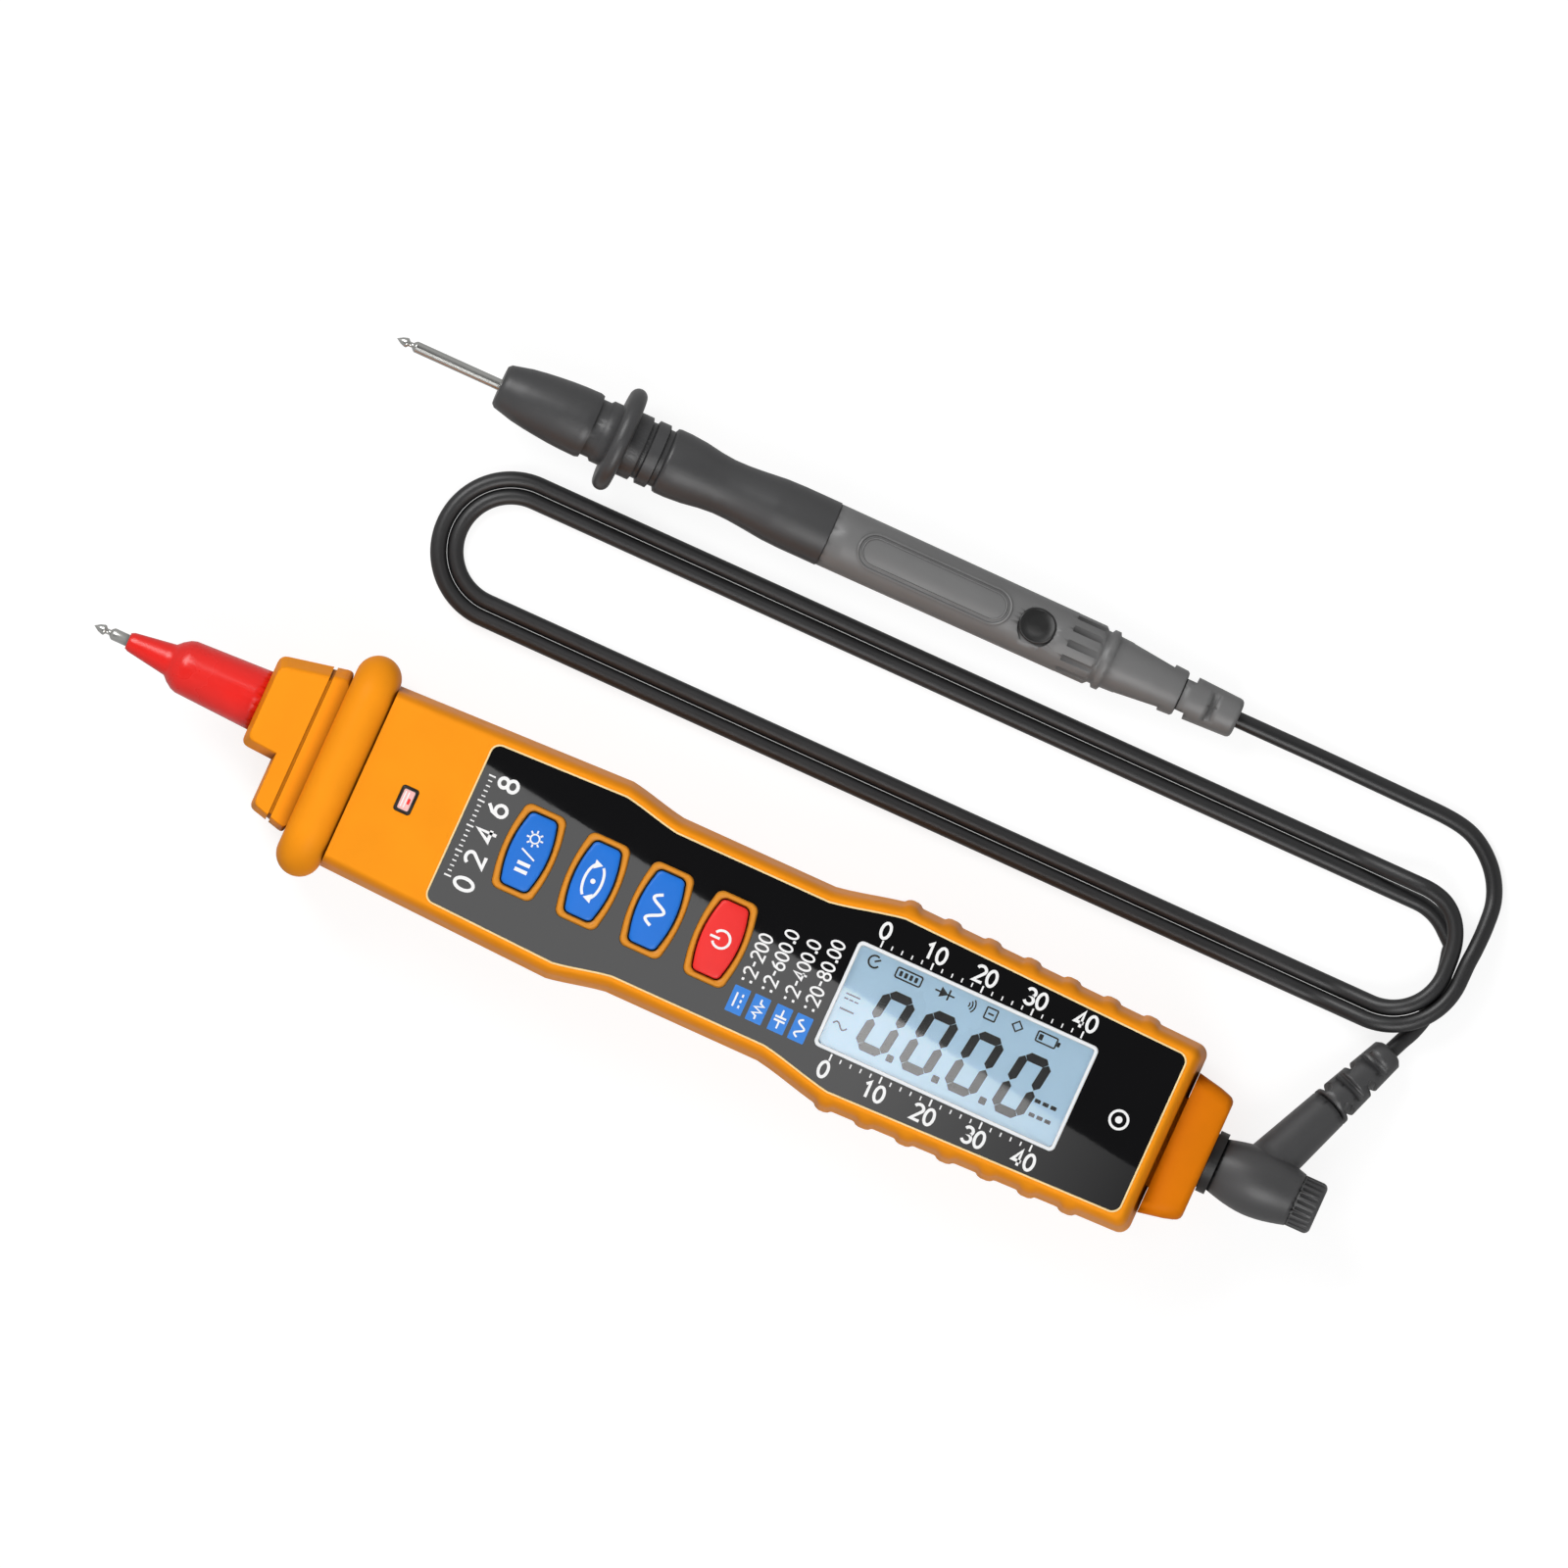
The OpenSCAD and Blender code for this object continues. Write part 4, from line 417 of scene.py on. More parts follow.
put(clear.node_tree.nodes["Principled BSDF"], Base_Color=(1, 1, 1, 1), Roughness=0.02, IOR=1.65,
    Transmission_Weight=1.0)
print("finishes made")

testCord, cordLength = makeCord(cordBlack)

# Housing: the outline of the body, its shells and the grip ridges
body = {"x0": -50.7, "x1": 93.0, "displayX": 39.3, "face": 26.0, "split": 13.0, "edgeWide": 1.6, "edgeHigh": 4.5,
        "draft": 0.7, "cornerR": 2.0, "ridges": 7, "pitch": 7.15, "first": 0.3, "ridgeHigh": 0.55, "ridgeWide": 3.2,
        "panelFront": 17.6, "inset": 2.7, "sink": 1.1, "wall": 2.5, "skin": 23.2, "plainStep": 1.5,
        "ridgeLead": 1.6, "ridgeRun": 49, "ridgeStep": 0.4}
hipX, waistX0, waistX1 = (body["x0"] + s * (body["displayX"] - body["x0"]) for s in (0.453, 0.562, 0.862))
widths = {"front": 15.95, "hip": 17.45, "waist": 15.45, "display": 18.1, "rear": 16.65}


def bend(t):
    return mix(t, ease(t), 0.3)


def halfWidth(x):
    w, b = widths, body
    if x < hipX:
        return mix(w["front"], w["hip"], share(x, b["x0"], hipX))
    if x < waistX1:
        return mix(w["hip"], w["waist"], bend(share(x, hipX, waistX0)))
    if x < b["displayX"]:
        return mix(w["waist"], w["display"], bend(share(x, waistX1, b["displayX"])))
    return mix(w["display"], w["rear"], share(x, b["displayX"], b["x1"]))


def ridge(x):
    b = body
    i = min(b["ridges"] - 1, max(0, round((x - b["displayX"] - b["first"]) / b["pitch"])))
    off = abs(x - b["displayX"] - b["first"] - i * b["pitch"]) / (b["ridgeWide"] / 2)
    return b["ridgeHigh"] * (1 - ease(share(off, 0.3, 1.1)))


def flank(inset, x0, x1, r0, r1, ridgeShare=0.0):
    b, out, steps = body, [], 8
    for k in range(steps + 1):
        a = math.radians(90 * k / steps)
        out.append((x0 + r0 * (1 - math.cos(a)), halfWidth(x0 + r0) - inset - r0 * (1 - math.sin(a))))
    ridgeStart, step = b["displayX"] - b["ridgeLead"], b["plainStep"]
    plain = [b["x0"] + step * i for i in range(1, int((ridgeStart - b["x0"]) / step))] + [hipX, waistX0, waistX1]
    fine = [ridgeStart + b["ridgeStep"] * i for i in range(int(b["ridgeRun"] / b["ridgeStep"]))]
    for x in sorted(plain) + fine:
        x = min(max(x, x0 + r0), x1 - r1)
        out.append((x, halfWidth(x) - inset + ridgeShare * ridge(x)))
    for k in range(steps + 1):
        a = math.radians(90 * k / steps)
        out.append((x1 - r1 * (1 - math.sin(a)), halfWidth(x1 - r1) - inset - r1 * (1 - math.cos(a))))
    return out


def bodyRing(z, inset, x0, x1, r0, r1, ridgeShare=0.0):
    half = flank(inset, x0, x1, r0, r1, ridgeShare)
    return [(x, y, z) for x, y in half] + [(x, -y, z) for x, y in reversed(half)]


# Heights with their insets and the ridges' share: the parting line's chamfer, the flank, the rounded edge
def shellRings():
    b = body
    levels = [(b["split"], 0.4, 1), (b["split"] + 0.2, 0.14, 1), (b["split"] + 0.4, 0, 1),
              (b["face"] - b["edgeHigh"], b["draft"], 1)]
    for k in range(1, 11):
        a = math.radians(9 * k)
        levels.append((b["face"] - b["edgeHigh"] * (1 - math.sin(a)),
                       b["draft"] + b["edgeWide"] * (1 - math.cos(a)), max(0, math.cos(a) - 0.35) / 0.65))
    return [bodyRing(z, inset, b["x0"], b["x1"] - inset, 0, b["cornerR"] - inset * 0.4, ridges)
            for z, inset, ridges in levels]


def panelRing(z, grow, inset=None):
    b, i = body, body["inset"] if inset is None else inset
    front = b["x0"] + (b["panelFront"] if inset is None else i)
    return bodyRing(z, i - grow, front - grow, b["x1"] - i + grow, 1.6 + grow, 1.6 + grow)


lamp = {"x": -42.3, "y": -0.5, "wide": 1.9, "long": 3.4, "rim": 0.5}
keys = {"xs": [-20.7 + 11.36 * i for i in range(4)], "long": 12.5, "mid": 6.5, "end": 4.4, "rim": 1.2, "r": 1.0,
        "top": 27.3, "crown": 0.28}
screen = {"x": 55.3, "long": 42.7, "wide": 18.6, "rim": 0.6, "r": 1.0}


def barrel(grow, x=0.0, steps=20):
    k = keys
    half, r = k["long"] / 2 + grow, k["r"] + max(0, grow) * 0.4
    side = []
    for i in range(steps + 1):
        y = (half - r) * (1 - 2 * i / steps)
        side.append((mix(k["mid"], k["end"], (y / half) ** 2) / 2 + grow, y))
    edge = side[0][0]
    corner = [(edge - r * (1 - math.cos(math.radians(a))), half - r * (1 - math.sin(math.radians(a))))
              for a in (90, 75, 60, 45, 30, 15)]
    right = corner + side + [(u, -v) for u, v in reversed(corner)]
    return [Vector((x + u, v)) for u, v in right] + [Vector((x - u, -v)) for u, v in right]


def lampOutline(grow):
    return roundRect(lamp["x"], lamp["y"], lamp["wide"] / 2 + grow, lamp["long"] / 2 + grow, max(0.1, grow))


def screenOutline(grow):
    return roundRect(screen["x"], 0, screen["long"] / 2 + grow, screen["wide"] / 2 + grow, screen["r"])


cuts = {"cavity": 12, "keys": 20, "lamp": 22, "panel": 23, "over": 28}  # heights between which holes are cut


def opening(outline, low):
    return loose("opening", *prism(outline, low, cuts["over"]))


shell = loose("frontShell", *loftParts(shellRings()))
holes = [loose("cavity", *loftParts([panelRing(z, 0, body["wall"]) for z in (cuts["cavity"], body["skin"])])),
         loose("recess", *loftParts([panelRing(z, 0) for z in (cuts["over"], body["face"] - body["sink"])])),
         opening(lampOutline(lamp["rim"] + 0.05), cuts["lamp"]), opening(screenOutline(0.1), cuts["keys"])]
holes += [opening(barrel(0.14, x), cuts["keys"]) for x in keys["xs"]]
cut(shell, *holes)
dressed(shell, orange, "meter", ["front_shell"])


def smoothCopy(node, finish, body="meter", crease=32):
    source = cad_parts[node]
    copy = linked(node + "Look", source.data.copy())
    tidy(copy.data, crease)
    even = copy.modifiers.new("even", "WEIGHTED_NORMAL")  # broad faces keep a flat shade beside small rounds
    even.keep_sharp = True
    copy.data = evaluated(copy)
    copy.modifiers.clear()
    return dressed(copy, finish, body, [node], None)


print("housing made")

# Finger guard: a bead whose section is half round
guard = {"x": -58.3, "wide": 7.6, "half": 19.3, "high": 28.0, "r": 8.0, "hole": 12.05, "holeHigh": 10.05,
         "holeMid": 13, "holeR": 3}


def guardRings():
    g, rings = guard, []
    for k in range(25):
        a = math.radians(-90 + 180 * k / 24)
        d = g["wide"] / 2 * (1 - math.cos(a))
        rings.append([(g["x"] + g["wide"] / 2 * (1 + math.sin(a)), p[0], p[1]) for p in
                      roundRect(0, g["high"] / 2, g["half"] - d, g["high"] / 2 - d, g["r"] - d, 10)])
    for x in (g["x"] + g["wide"], g["x"]):
        rings.append([(x, p[0], p[1]) for p in
                      roundRect(0, g["holeMid"], g["hole"], g["holeHigh"], g["holeR"], 10)])
    return rings


loft("fingerGuard", guardRings(), orange, "meter", ["finger_guard"], "orange_plastic", looped=True)
smoothCopy("nose_cap", orange, crease=14)
smoothCopy("jack_housing", jackShadedOrange, crease=28)
smoothCopy("rear_shell", orange)

# Panel, with holes for the keys and the display
plate = {"levels": ((24.9, -0.1), (25.62, -0.1), (25.7, -0.18)), "gap": 0.05}
panel = loose("panelPlate", *loftParts([panelRing(z, grow) for z, grow in plate["levels"]]))
openings = [opening(barrel(keys["rim"] + plate["gap"], x), cuts["panel"]) for x in keys["xs"]]
cut(panel, *openings, opening(screenOutline(plate["gap"]), cuts["panel"]))
dressed(panel, panelBlack, "meter", ["panel_overlay"])

# Keys and their bezels
for i, x in enumerate(keys["xs"]):
    rings = [[(p[0], p[1], z) for p in barrel(grow, x)] for z, grow in
             ((24.5, keys["rim"]), (26.2, keys["rim"]), (26.62, keys["rim"] - 0.07), (26.85, keys["rim"] - 0.25),
              (26.9, keys["rim"] - 0.5), (26.85, 0.42), (26.6, 0.2), (26.0, 0.13), (24.5, 0.12))]
    loft("keyBezel" + str(i + 1), rings, bezelShadedOrange, "meter", slot="orange_plastic", looped=True)


def crownAt(u, v):
    k = keys
    return k["top"] - k["crown"] * ((u / (k["mid"] / 2)) ** 2 + (v / (k["long"] / 2)) ** 2) / 2


keyBodies = ["button_hold", "button_select", "button_hz", "button_power"]
for i, x in enumerate(keys["xs"]):
    rings = [[(p[0], p[1], z) for p in barrel(grow, x)] for z, grow in ((23.2, 0), (26.6, 0))]
    rings += [[(p[0], p[1], crownAt(p[0] - x, p[1]) - low) for p in barrel(grow, x)]
              for low, grow in ((0.3, -0.03), (0.12, -0.1), (0.03, -0.22), (0, -0.42))]
    edge = barrel(-0.42, x)
    for s in (0.85, 0.65, 0.45, 0.25, 0.08):
        rings.append([(x + (p[0] - x) * s, p[1] * s, crownAt((p[0] - x) * s, p[1] * s)) for p in edge])
    loft("keyCap" + str(i + 1), rings, capRed if i == 3 else capBlue, keyBodies[i], [keyBodies[i]],
         "button_red" if i == 3 else "button_blue", crease=60)
print("panel and keys made")

# Display: frame, cell, window
s = screen
outer = [roundRect(s["x"], 0, s["long"] / 2 - d, s["wide"] / 2 - d, s["r"] - d * 0.5, 8) for d in (0, 0, 0.12)]
inner = [roundRect(s["x"], 0, s["long"] / 2 - d, s["wide"] / 2 - d, 0.5, 8) for d in (0.5, 0.62, 0.62)]
rings = [[(p[0], p[1], z) for p in ring] for ring, z in zip(outer + inner, (24.2, 25.8, 25.92, 25.92, 25.8, 24.2))]
loft("screenFrame", rings, frameWhite, "meter", ["lcd_bezel"], "white_plastic", looped=True)


# Printed marks: strokes and filled shapes, drawn in a small local plane and laid on their piece
def stroke(points, wide, closed=False):
    pts = [Vector(p[:2]) for p in points]
    n, rings = len(pts), []
    for i, p in enumerate(pts):
        a = pts[i - 1] if closed or i else p
        b = pts[(i + 1) % n] if closed or i < n - 1 else p
        first, last = (p - a).normalized() if p != a else None, (b - p).normalized() if b != p else None
        way = ((first or last) + (last or first)).normalized()
        side = Vector((-way.y, way.x))
        flat = side.dot(Vector((-(last or first).y, (last or first).x)))
        reach = wide / 2 / max(0.5, flat)
        rings.append([(p + side * reach, 0), (p + side * reach, 1), (p - side * reach, 1), (p - side * reach, 0)])
    return loftParts(rings, closed)


def filled(outline):
    return loftParts([[(Vector(p[:2]), h) for p in outline] for h in (0, 1)])


def arc(cx, cy, rx, ry, a0, a1, steps=14):
    return [(cx + rx * math.cos(math.radians(mix(a0, a1, k / steps))),
             cy + ry * math.sin(math.radians(mix(a0, a1, k / steps)))) for k in range(steps + 1)]


numeralPaths = {
    "0": [(arc(0.5, 1, 0.5, 1, 0, 345, 22), True)], "1": [([(0.15, 1.6), (0.55, 2), (0.55, 0)], False)],
    "2": [(arc(0.5, 1.5, 0.5, 0.5, 165, -35, 10) + [(0, 0), (1, 0)], False)],
    "3": [(arc(0.48, 1.52, 0.46, 0.48, 160, -80, 10) + arc(0.5, 0.53, 0.5, 0.53, 80, -160, 12), False)],
    "4": [([(0.72, 0), (0.72, 2), (0, 0.6), (1, 0.6)], False)],
    "6": [(arc(0.5, 0.6, 0.5, 0.6, 0, 345, 16), True), ([(0.03, 0.75), (0.2, 1.4), (0.75, 2)], False)],
    "8": [(arc(0.5, 1.52, 0.42, 0.48, 0, 345, 16), True), (arc(0.5, 0.53, 0.5, 0.53, 0, 345, 16), True)],
}


def numerals(text, x, y, high, wide, bold=0.18, gap=0.32):
    parts = []
    for mark in text:
        if mark == ".":
            parts.append(filled(roundRect(x + bold, y + bold * 0.6, bold * 0.7, bold * 0.7, bold * 0.3, 2)))
            x += bold * 2.2
            continue
        if mark == "-":
            parts.append(stroke([(x, y + high / 2), (x + wide * 0.7, y + high / 2)], bold))
            x += wide * 0.7 + gap
            continue
        for path, closed in numeralPaths[mark]:
            parts.append(stroke([(x + u * wide, y + v * high / 2) for u, v in path], bold, closed))
        x += wide + gap
    return parts, x


def moved(parts, along):
    return [([(p + Vector((along, 0)), h) for p, h in verts], faces) for verts, faces in parts]


def laid(parts, at, turn=0.0, base=0.0, thick=0.03, surface=None):
    c, n, out = math.cos(math.radians(turn)), math.sin(math.radians(turn)), []
    for i, (verts, faces) in enumerate(parts):
        placed, rise = [], thick * (1 + 0.09 * (i % 5))  # crossing strokes end at different heights
        for p, h in verts:
            x, y = at[0] + (p[0] * c - p[1] * n), at[1] + (p[0] * n + p[1] * c)
            placed.append((x, y, (surface(x, y) if surface else base) + rise * (2 * h - 1)))
        out.append((placed, faces))
    return out


def printed(name, groups, finish, body="meter", slot=None):
    return piece(name, *joinParts(*[part for group in groups for part in group]), finish, body, (), slot, 60)


# Key legends: up is towards the needle, so the marks are turned by a quarter
def sunIcon(r=0.75):
    rays = [stroke([(k * r * math.cos(a), k * r * math.sin(a)) for k in (1.25, 1.9)], 0.28)
            for a in (math.radians(45 * i) for i in range(8))]
    return [stroke(arc(0, 0, r, r, 0, 340, 18), 0.26, True)] + rays


def holdIcon():
    bars = [stroke([(x, -1.1), (x, 1.1)], 0.62) for x in (-3.3, -2.1)]
    return bars + [stroke([(-0.95, -1.3), (0.15, 1.3)], 0.3)] + moved(sunIcon(), 2.35)


def cycleIcon():
    out = []
    for s in (1, -1):
        out.append(stroke([(p[0], p[1] * s) for p in arc(0, 0.15, 2.9, 1.35, 25, 155, 14)], 0.45))
        tip = Vector((2.75 * s, 0.35 * s))
        out.append(filled([tip + Vector(p) * s for p in ((0.75, 0.55), (-0.85, 0.45), (0.15, -0.85))]))
    return out + [filled(roundRect(0, 0, 0.42, 0.42, 0.4, 4))]


def waveIcon(reach=2.7, tall=1.25, bold=0.5, turns=1.5):
    points = [(mix(-reach, reach, k / 36), tall * math.sin(2 * math.pi * turns * k / 36)) for k in range(37)]
    return [stroke(points, bold)]


def powerIcon():
    return [stroke(arc(0, -0.1, 1.45, 1.45, 122, 418, 26), 0.42), stroke([(0, 0.15), (0, 1.85)], 0.42)]


for i, icon in enumerate((holdIcon(), cycleIcon(), waveIcon(), powerIcon())):
    x = keys["xs"][i]
    marks = laid(icon, (x, 0), 90, surface=lambda a, b, x=x: crownAt(a - x, b))
    printed("keyMark" + str(i + 1), [marks], inkWhite, keyBodies[i])

# Range list between the keys and the display: blue chips with a sign, then plain numbers
chips = {"xs": (20.0, 23.6, 27.5, 31.1), "y": -7.85, "half": 2.25, "wide": 1.4}
ranges = ("2-200", "2-600.0", "2-400.0", "20-80.00")
panelTop = 25.7
chipShapes, chipSigns, rangeMarks = [], [], []
currentSign = [stroke([(-1.2, 0.5), (1.2, 0.5)], 0.32)] \
    + [stroke([(x, -0.5), (x + 0.5, -0.5)], 0.32) for x in (-1.2, -0.25, 0.7)]
resistorSign = [stroke([(-1.7, 0), (-1.1, 0), (-0.8, 0.7), (-0.3, -0.7), (0.2, 0.7), (0.7, -0.7), (1.0, 0),
                        (1.7, 0)], 0.3)]
capacitorSign = [stroke([(-1.6, 0), (-0.3, 0)], 0.3), stroke([(-0.3, -0.95), (-0.3, 0.95)], 0.34),
                 stroke([(0.3, -0.95), (0.3, 0.95)], 0.34), stroke([(0.3, 0), (1.6, 0)], 0.3)]
signs = (currentSign, resistorSign, capacitorSign, waveIcon(1.5, 0.65, 0.32))
for x, sign, label in zip(chips["xs"], signs, ranges):
    chip = filled(roundRect(0, 0, chips["half"], chips["wide"], 0.15, 2))
    chipShapes.append(laid([chip], (x, chips["y"]), 90, base=panelTop))
    chipSigns.append(laid(sign, (x, chips["y"]), 90, base=panelTop + 0.04))
    parts, reach = numerals(label, 0, -1.1, 2.2, 1.15, 0.34, 0.42)
    dots = [filled(roundRect(-0.9, y, 0.22, 0.22, 0.1, 2)) for y in (-0.7, 0.7)]
    rangeMarks.append(laid(parts + dots, (x, -3.4), 90, base=panelTop))
printed("rangeChips", chipShapes, inkBlue)


def centred(number, at, turn, *letters):
    parts, reach = numerals(str(number), 0, *letters)
    return laid(moved(parts, -reach / 2), at, turn, base=panelTop)


# Scales of plain numbers beside the display and at the front end of the panel
scaleMarks = [centred(10 * k, (37.5 + 8.9 * k, y), 0, -1.3, 2.6, 1.5, 0.5, 0.55)
              for y in (12.3, -12.3) for k in range(5)]
scaleMarks += [centred(2 * k, (-28.2, -8.8 + 4.4 * k), 90, -1.6, 3.2, 1.9, 0.56, 0.5) for k in range(5)]
jackMark = laid([stroke(arc(0, 0, 1.5, 1.5, 0, 345, 28), 0.42, True), filled(arc(0, 0, 0.6, 0.6, 0, 330, 14))],
                (84.2, 0), 0, base=panelTop)
printed("panelMarks", chipSigns + rangeMarks + scaleMarks + [jackMark], inkWhite)


# Geometry Nodes: a tree whose shapes are made real and get the finish
def newTree(name, *inputs):
    tree, given, out = newGroup("Geometry", name, inputs + (("Finish", "Material", None),),
                                (("Geometry", "Geometry"),))
    real, paint = made(tree, "RealizeInstances", "SetMaterial", family="GeometryNode")
    wire(tree, (real.outputs[0], paint.inputs["Geometry"]), (given.outputs["Finish"], paint.inputs["Material"]),
         (paint.outputs[0], out.inputs[0]))
    return tree, given, real


# Marks or bars in a row, every fifth one longer
def rowTree():
    tree, given, real = newTree(
        "markRow", ("Count", "Int", 10), ("Step", "Vector", (0.001, 0, 0)), ("Size", "Vector", (0.001,) * 3),
        ("Major", "Int", 5), ("Longer", "Vector", (1, 1, 1)))
    line, bar, place, index, pick = made(tree, "MeshLine", "MeshCube", "InstanceOnPoints", "InputIndex", "Switch",
                                         family="GeometryNode")
    cycle, first = tree.nodes.new("ShaderNodeMath"), tree.nodes.new("FunctionNodeCompare")
    cycle.operation, first.operation, first.data_type, pick.input_type = "MODULO", "EQUAL", "FLOAT", "VECTOR"
    pick.inputs["False"].default_value = (1, 1, 1)
    wire(tree, (given.outputs["Count"], line.inputs["Count"]), (given.outputs["Step"], line.inputs["Offset"]),
         (given.outputs["Size"], bar.inputs["Size"]), (index.outputs[0], cycle.inputs[0]),
         (given.outputs["Major"], cycle.inputs[1]), (cycle.outputs[0], first.inputs["A"]),
         (first.outputs[0], pick.inputs["Switch"]), (given.outputs["Longer"], pick.inputs["True"]),
         (line.outputs[0], place.inputs["Points"]), (bar.outputs["Mesh"], place.inputs["Instance"]),
         (pick.outputs[0], place.inputs["Scale"]), (place.outputs[0], real.inputs[0]))
    return tree


# A round bead along a closed path
def beadTree():
    tree, given, real = newTree("beadAlong", ("Path", "Geometry", None), ("Radius", "Float", 0.0002),
                                ("Sides", "Int", 8))
    path, circle, sweep = made(tree, "MeshToCurve", "CurvePrimitiveCircle", "CurveToMesh", family="GeometryNode")
    wire(tree, (given.outputs["Path"], path.inputs[0]), (given.outputs["Radius"], circle.inputs["Radius"]),
         (given.outputs["Sides"], circle.inputs["Resolution"]), (path.outputs[0], sweep.inputs["Curve"]),
         (circle.outputs[0], sweep.inputs["Profile Curve"]), (sweep.outputs[0], real.inputs[0]))
    return tree


def grown(name, tree, inputs, place, finish, body="meter", crease=40, path=()):
    obj = linked(name, meshOf(name, path, edges=[(i, (i + 1) % len(path)) for i in range(len(path))]))
    mod = obj.modifiers.new("tree", "NODES")
    mod.node_group = tree
    for item in tree.interface.items_tree:
        if item.in_out == "INPUT" and item.name != "Path":
            mod[item.identifier] = finish if item.name == "Finish" else inputs[item.name]
    obj.update_tag()
    obj.data = evaluated(obj)
    obj.modifiers.clear()
    obj.data.transform(place)
    return dressed(obj, finish, body, (), crease)


markRow, beadAlong = rowTree(), beadTree()
# Painted highlight: a thin pale bead along the panel's recess edge, for the light that edge catches
grown("panelEdgeHighlight", beadAlong, {"Radius": 0.17 * mm, "Sides": 8}, Matrix(), edgeHighlight, path=panelRing(25.93, 0.02))
for name, at, step, count, size, longer in (
        ("upperTicks", (37.5, 10.1), (1.78, 0), 21, (0.22, 0.7), (1.3, 1.7, 1)),
        ("lowerTicks", (37.5, -10.1), (1.78, 0), 21, (0.22, 0.7), (1.3, 1.7, 1)),
        ("frontTicks", (-31.2, -8.8), (0, 0.88), 21, (0.7, 0.2), (1.7, 1.3, 1))):
    grown(name, markRow, {"Count": count, "Step": (step[0] * mm, step[1] * mm, 0), "Major": 5, "Longer": longer,
                          "Size": (size[0] * mm, size[1] * mm, 0.06 * mm)},
          Matrix.Translation((at[0] * mm, at[1] * mm, panelTop * mm)), inkWhite)

# Display marks: four digits of segments, points and small signs, read with the panel's width upright
digits = {"xs": (39.7, 47.4, 55.5, 63.9), "low": -7.0, "high": 11.1, "wide": 5.7, "bar": 1.5, "slant": 0.14}


def segment(a, b, wide):
    a, b, tip = Vector(a), Vector(b), 0.08
    way = (b - a).normalized()
    side, cutBack = Vector((-way.y, way.x)) * wide / 2, way * wide / 2
    return [a + way * tip, a + cutBack + side, b - cutBack + side, b - way * tip, b - cutBack - side,
            a + cutBack - side]


def digitShapes(x):
    d, t = digits, digits["bar"]
    w, h = d["wide"] - t, d["high"] - t
    ends = (((0, h), (w, h)), ((w, h), (w, h / 2)), ((w, h / 2), (w, 0)), ((0, 0), (w, 0)), ((0, 0), (0, h / 2)),
            ((0, h / 2), (0, h)))  # the outer six segments, as in a zero
    shapes = []
    for a, b in ends:
        points = [p + Vector((t / 2, t / 2)) for p in segment(a, b, t)]
        shapes.append(filled([Vector((x + p.x + p.y * d["slant"], d["low"] + p.y)) for p in points]))
    return shapes


cellTop = 24.6
cellMarks = [s for x in digits["xs"] for s in digitShapes(x)]
cellMarks += [filled(roundRect(x, -6.3, 0.6, 0.6, 0.2, 3)) for x in (46.3, 54.4, 62.8)]
cellMarks += [stroke(arc(37.6, 7.0, 1.0, 1.0, 60, 330, 14), 0.3), stroke([(37.6, 7.0), (38.5, 7.6)], 0.3)]
cellMarks += [stroke(roundRect(43.7, 7.0, 2.2, 0.85, 0.3, 3), 0.26, True)]
cellMarks += [filled(roundRect(42.3 + 0.9 * k, 7.0, 0.26, 0.45, 0.1, 2)) for k in range(4)]
cellMarks += [stroke([(48.4, 7.0), (51.8, 7.0)], 0.28), filled([(49.3, 7.9), (49.3, 6.1), (50.7, 7.0)]),
              stroke([(50.8, 7.9), (50.8, 6.1)], 0.3)]
cellMarks += [stroke(arc(54.0, 7.0, k, k, -45, 45, 6), 0.24) for k in (0.5, 1.0, 1.5)]
cellMarks += [stroke(roundRect(58.3, 7.0, 0.95, 0.95, 0.15, 2), 0.26, True),
              stroke([(57.8, 7.0), (58.8, 7.0)], 0.3)]
cellMarks += [stroke([(63.0, 7.9), (63.9, 7.0), (63.0, 6.1), (62.1, 7.0)], 0.24, True)]
cellMarks += [stroke(roundRect(68.2, 7.0, 1.7, 0.85, 0.2, 2), 0.26, True),
              filled(roundRect(70.3, 7.0, 0.25, 0.4, 0.1, 2)), filled(roundRect(67.2, 7.0, 0.35, 0.5, 0.1, 2))]
cellMarks += [stroke([(35.5, -2.1), (38.0, -2.1)], 0.3)]
cellMarks += [stroke([(x, y), (end, y)], 0.26) for x, end, y in
              ((35.5, 38.0, 0.5), (35.5, 36.2, -0.3), (36.4, 37.1, -0.3), (37.3, 38.0, -0.3))]
cellMarks += [stroke([(mix(35.5, 38.0, k / 16), -4.8 + 0.5 * math.sin(2 * math.pi * k / 16)) for k in range(17)],
                     0.28)]
cellMarks += [filled(roundRect(x, y, 0.5, 0.32, 0.1, 2)) for x in (71.0, 72.4, 73.8) for y in (-2.7, -5.1)]
printed("cellMarks", [laid(cellMarks, (0, 0), base=cellTop + 0.02, thick=0.02)], inkBlack)
smoothCopy("lcd_glass", displayBlue)
smoothCopy("lcd_lens", clear)
print("display made")

# Light, with the marks in its window
smoothCopy("led_bezel", blackPlain)
smoothCopy("led_lens", lampPink)
lensTop = 26.0
for name, ink, marks in (
        ("lampStripes", inkWhite, [(-0.55, 0, 0.1, 1.35, 0.05, 2), (0.0, 0, 0.1, 1.35, 0.05, 2)]),
        ("lampGlow", capRed, [(0.45, -0.1, 0.22, 0.5, 0.15, 3)])):
    shapes = [filled(roundRect(lamp["x"] + x, lamp["y"] + y, *size)) for x, y, *size in marks]
    printed(name, [laid(shapes, (0, 0), base=lensTop, thick=0.02)], ink)

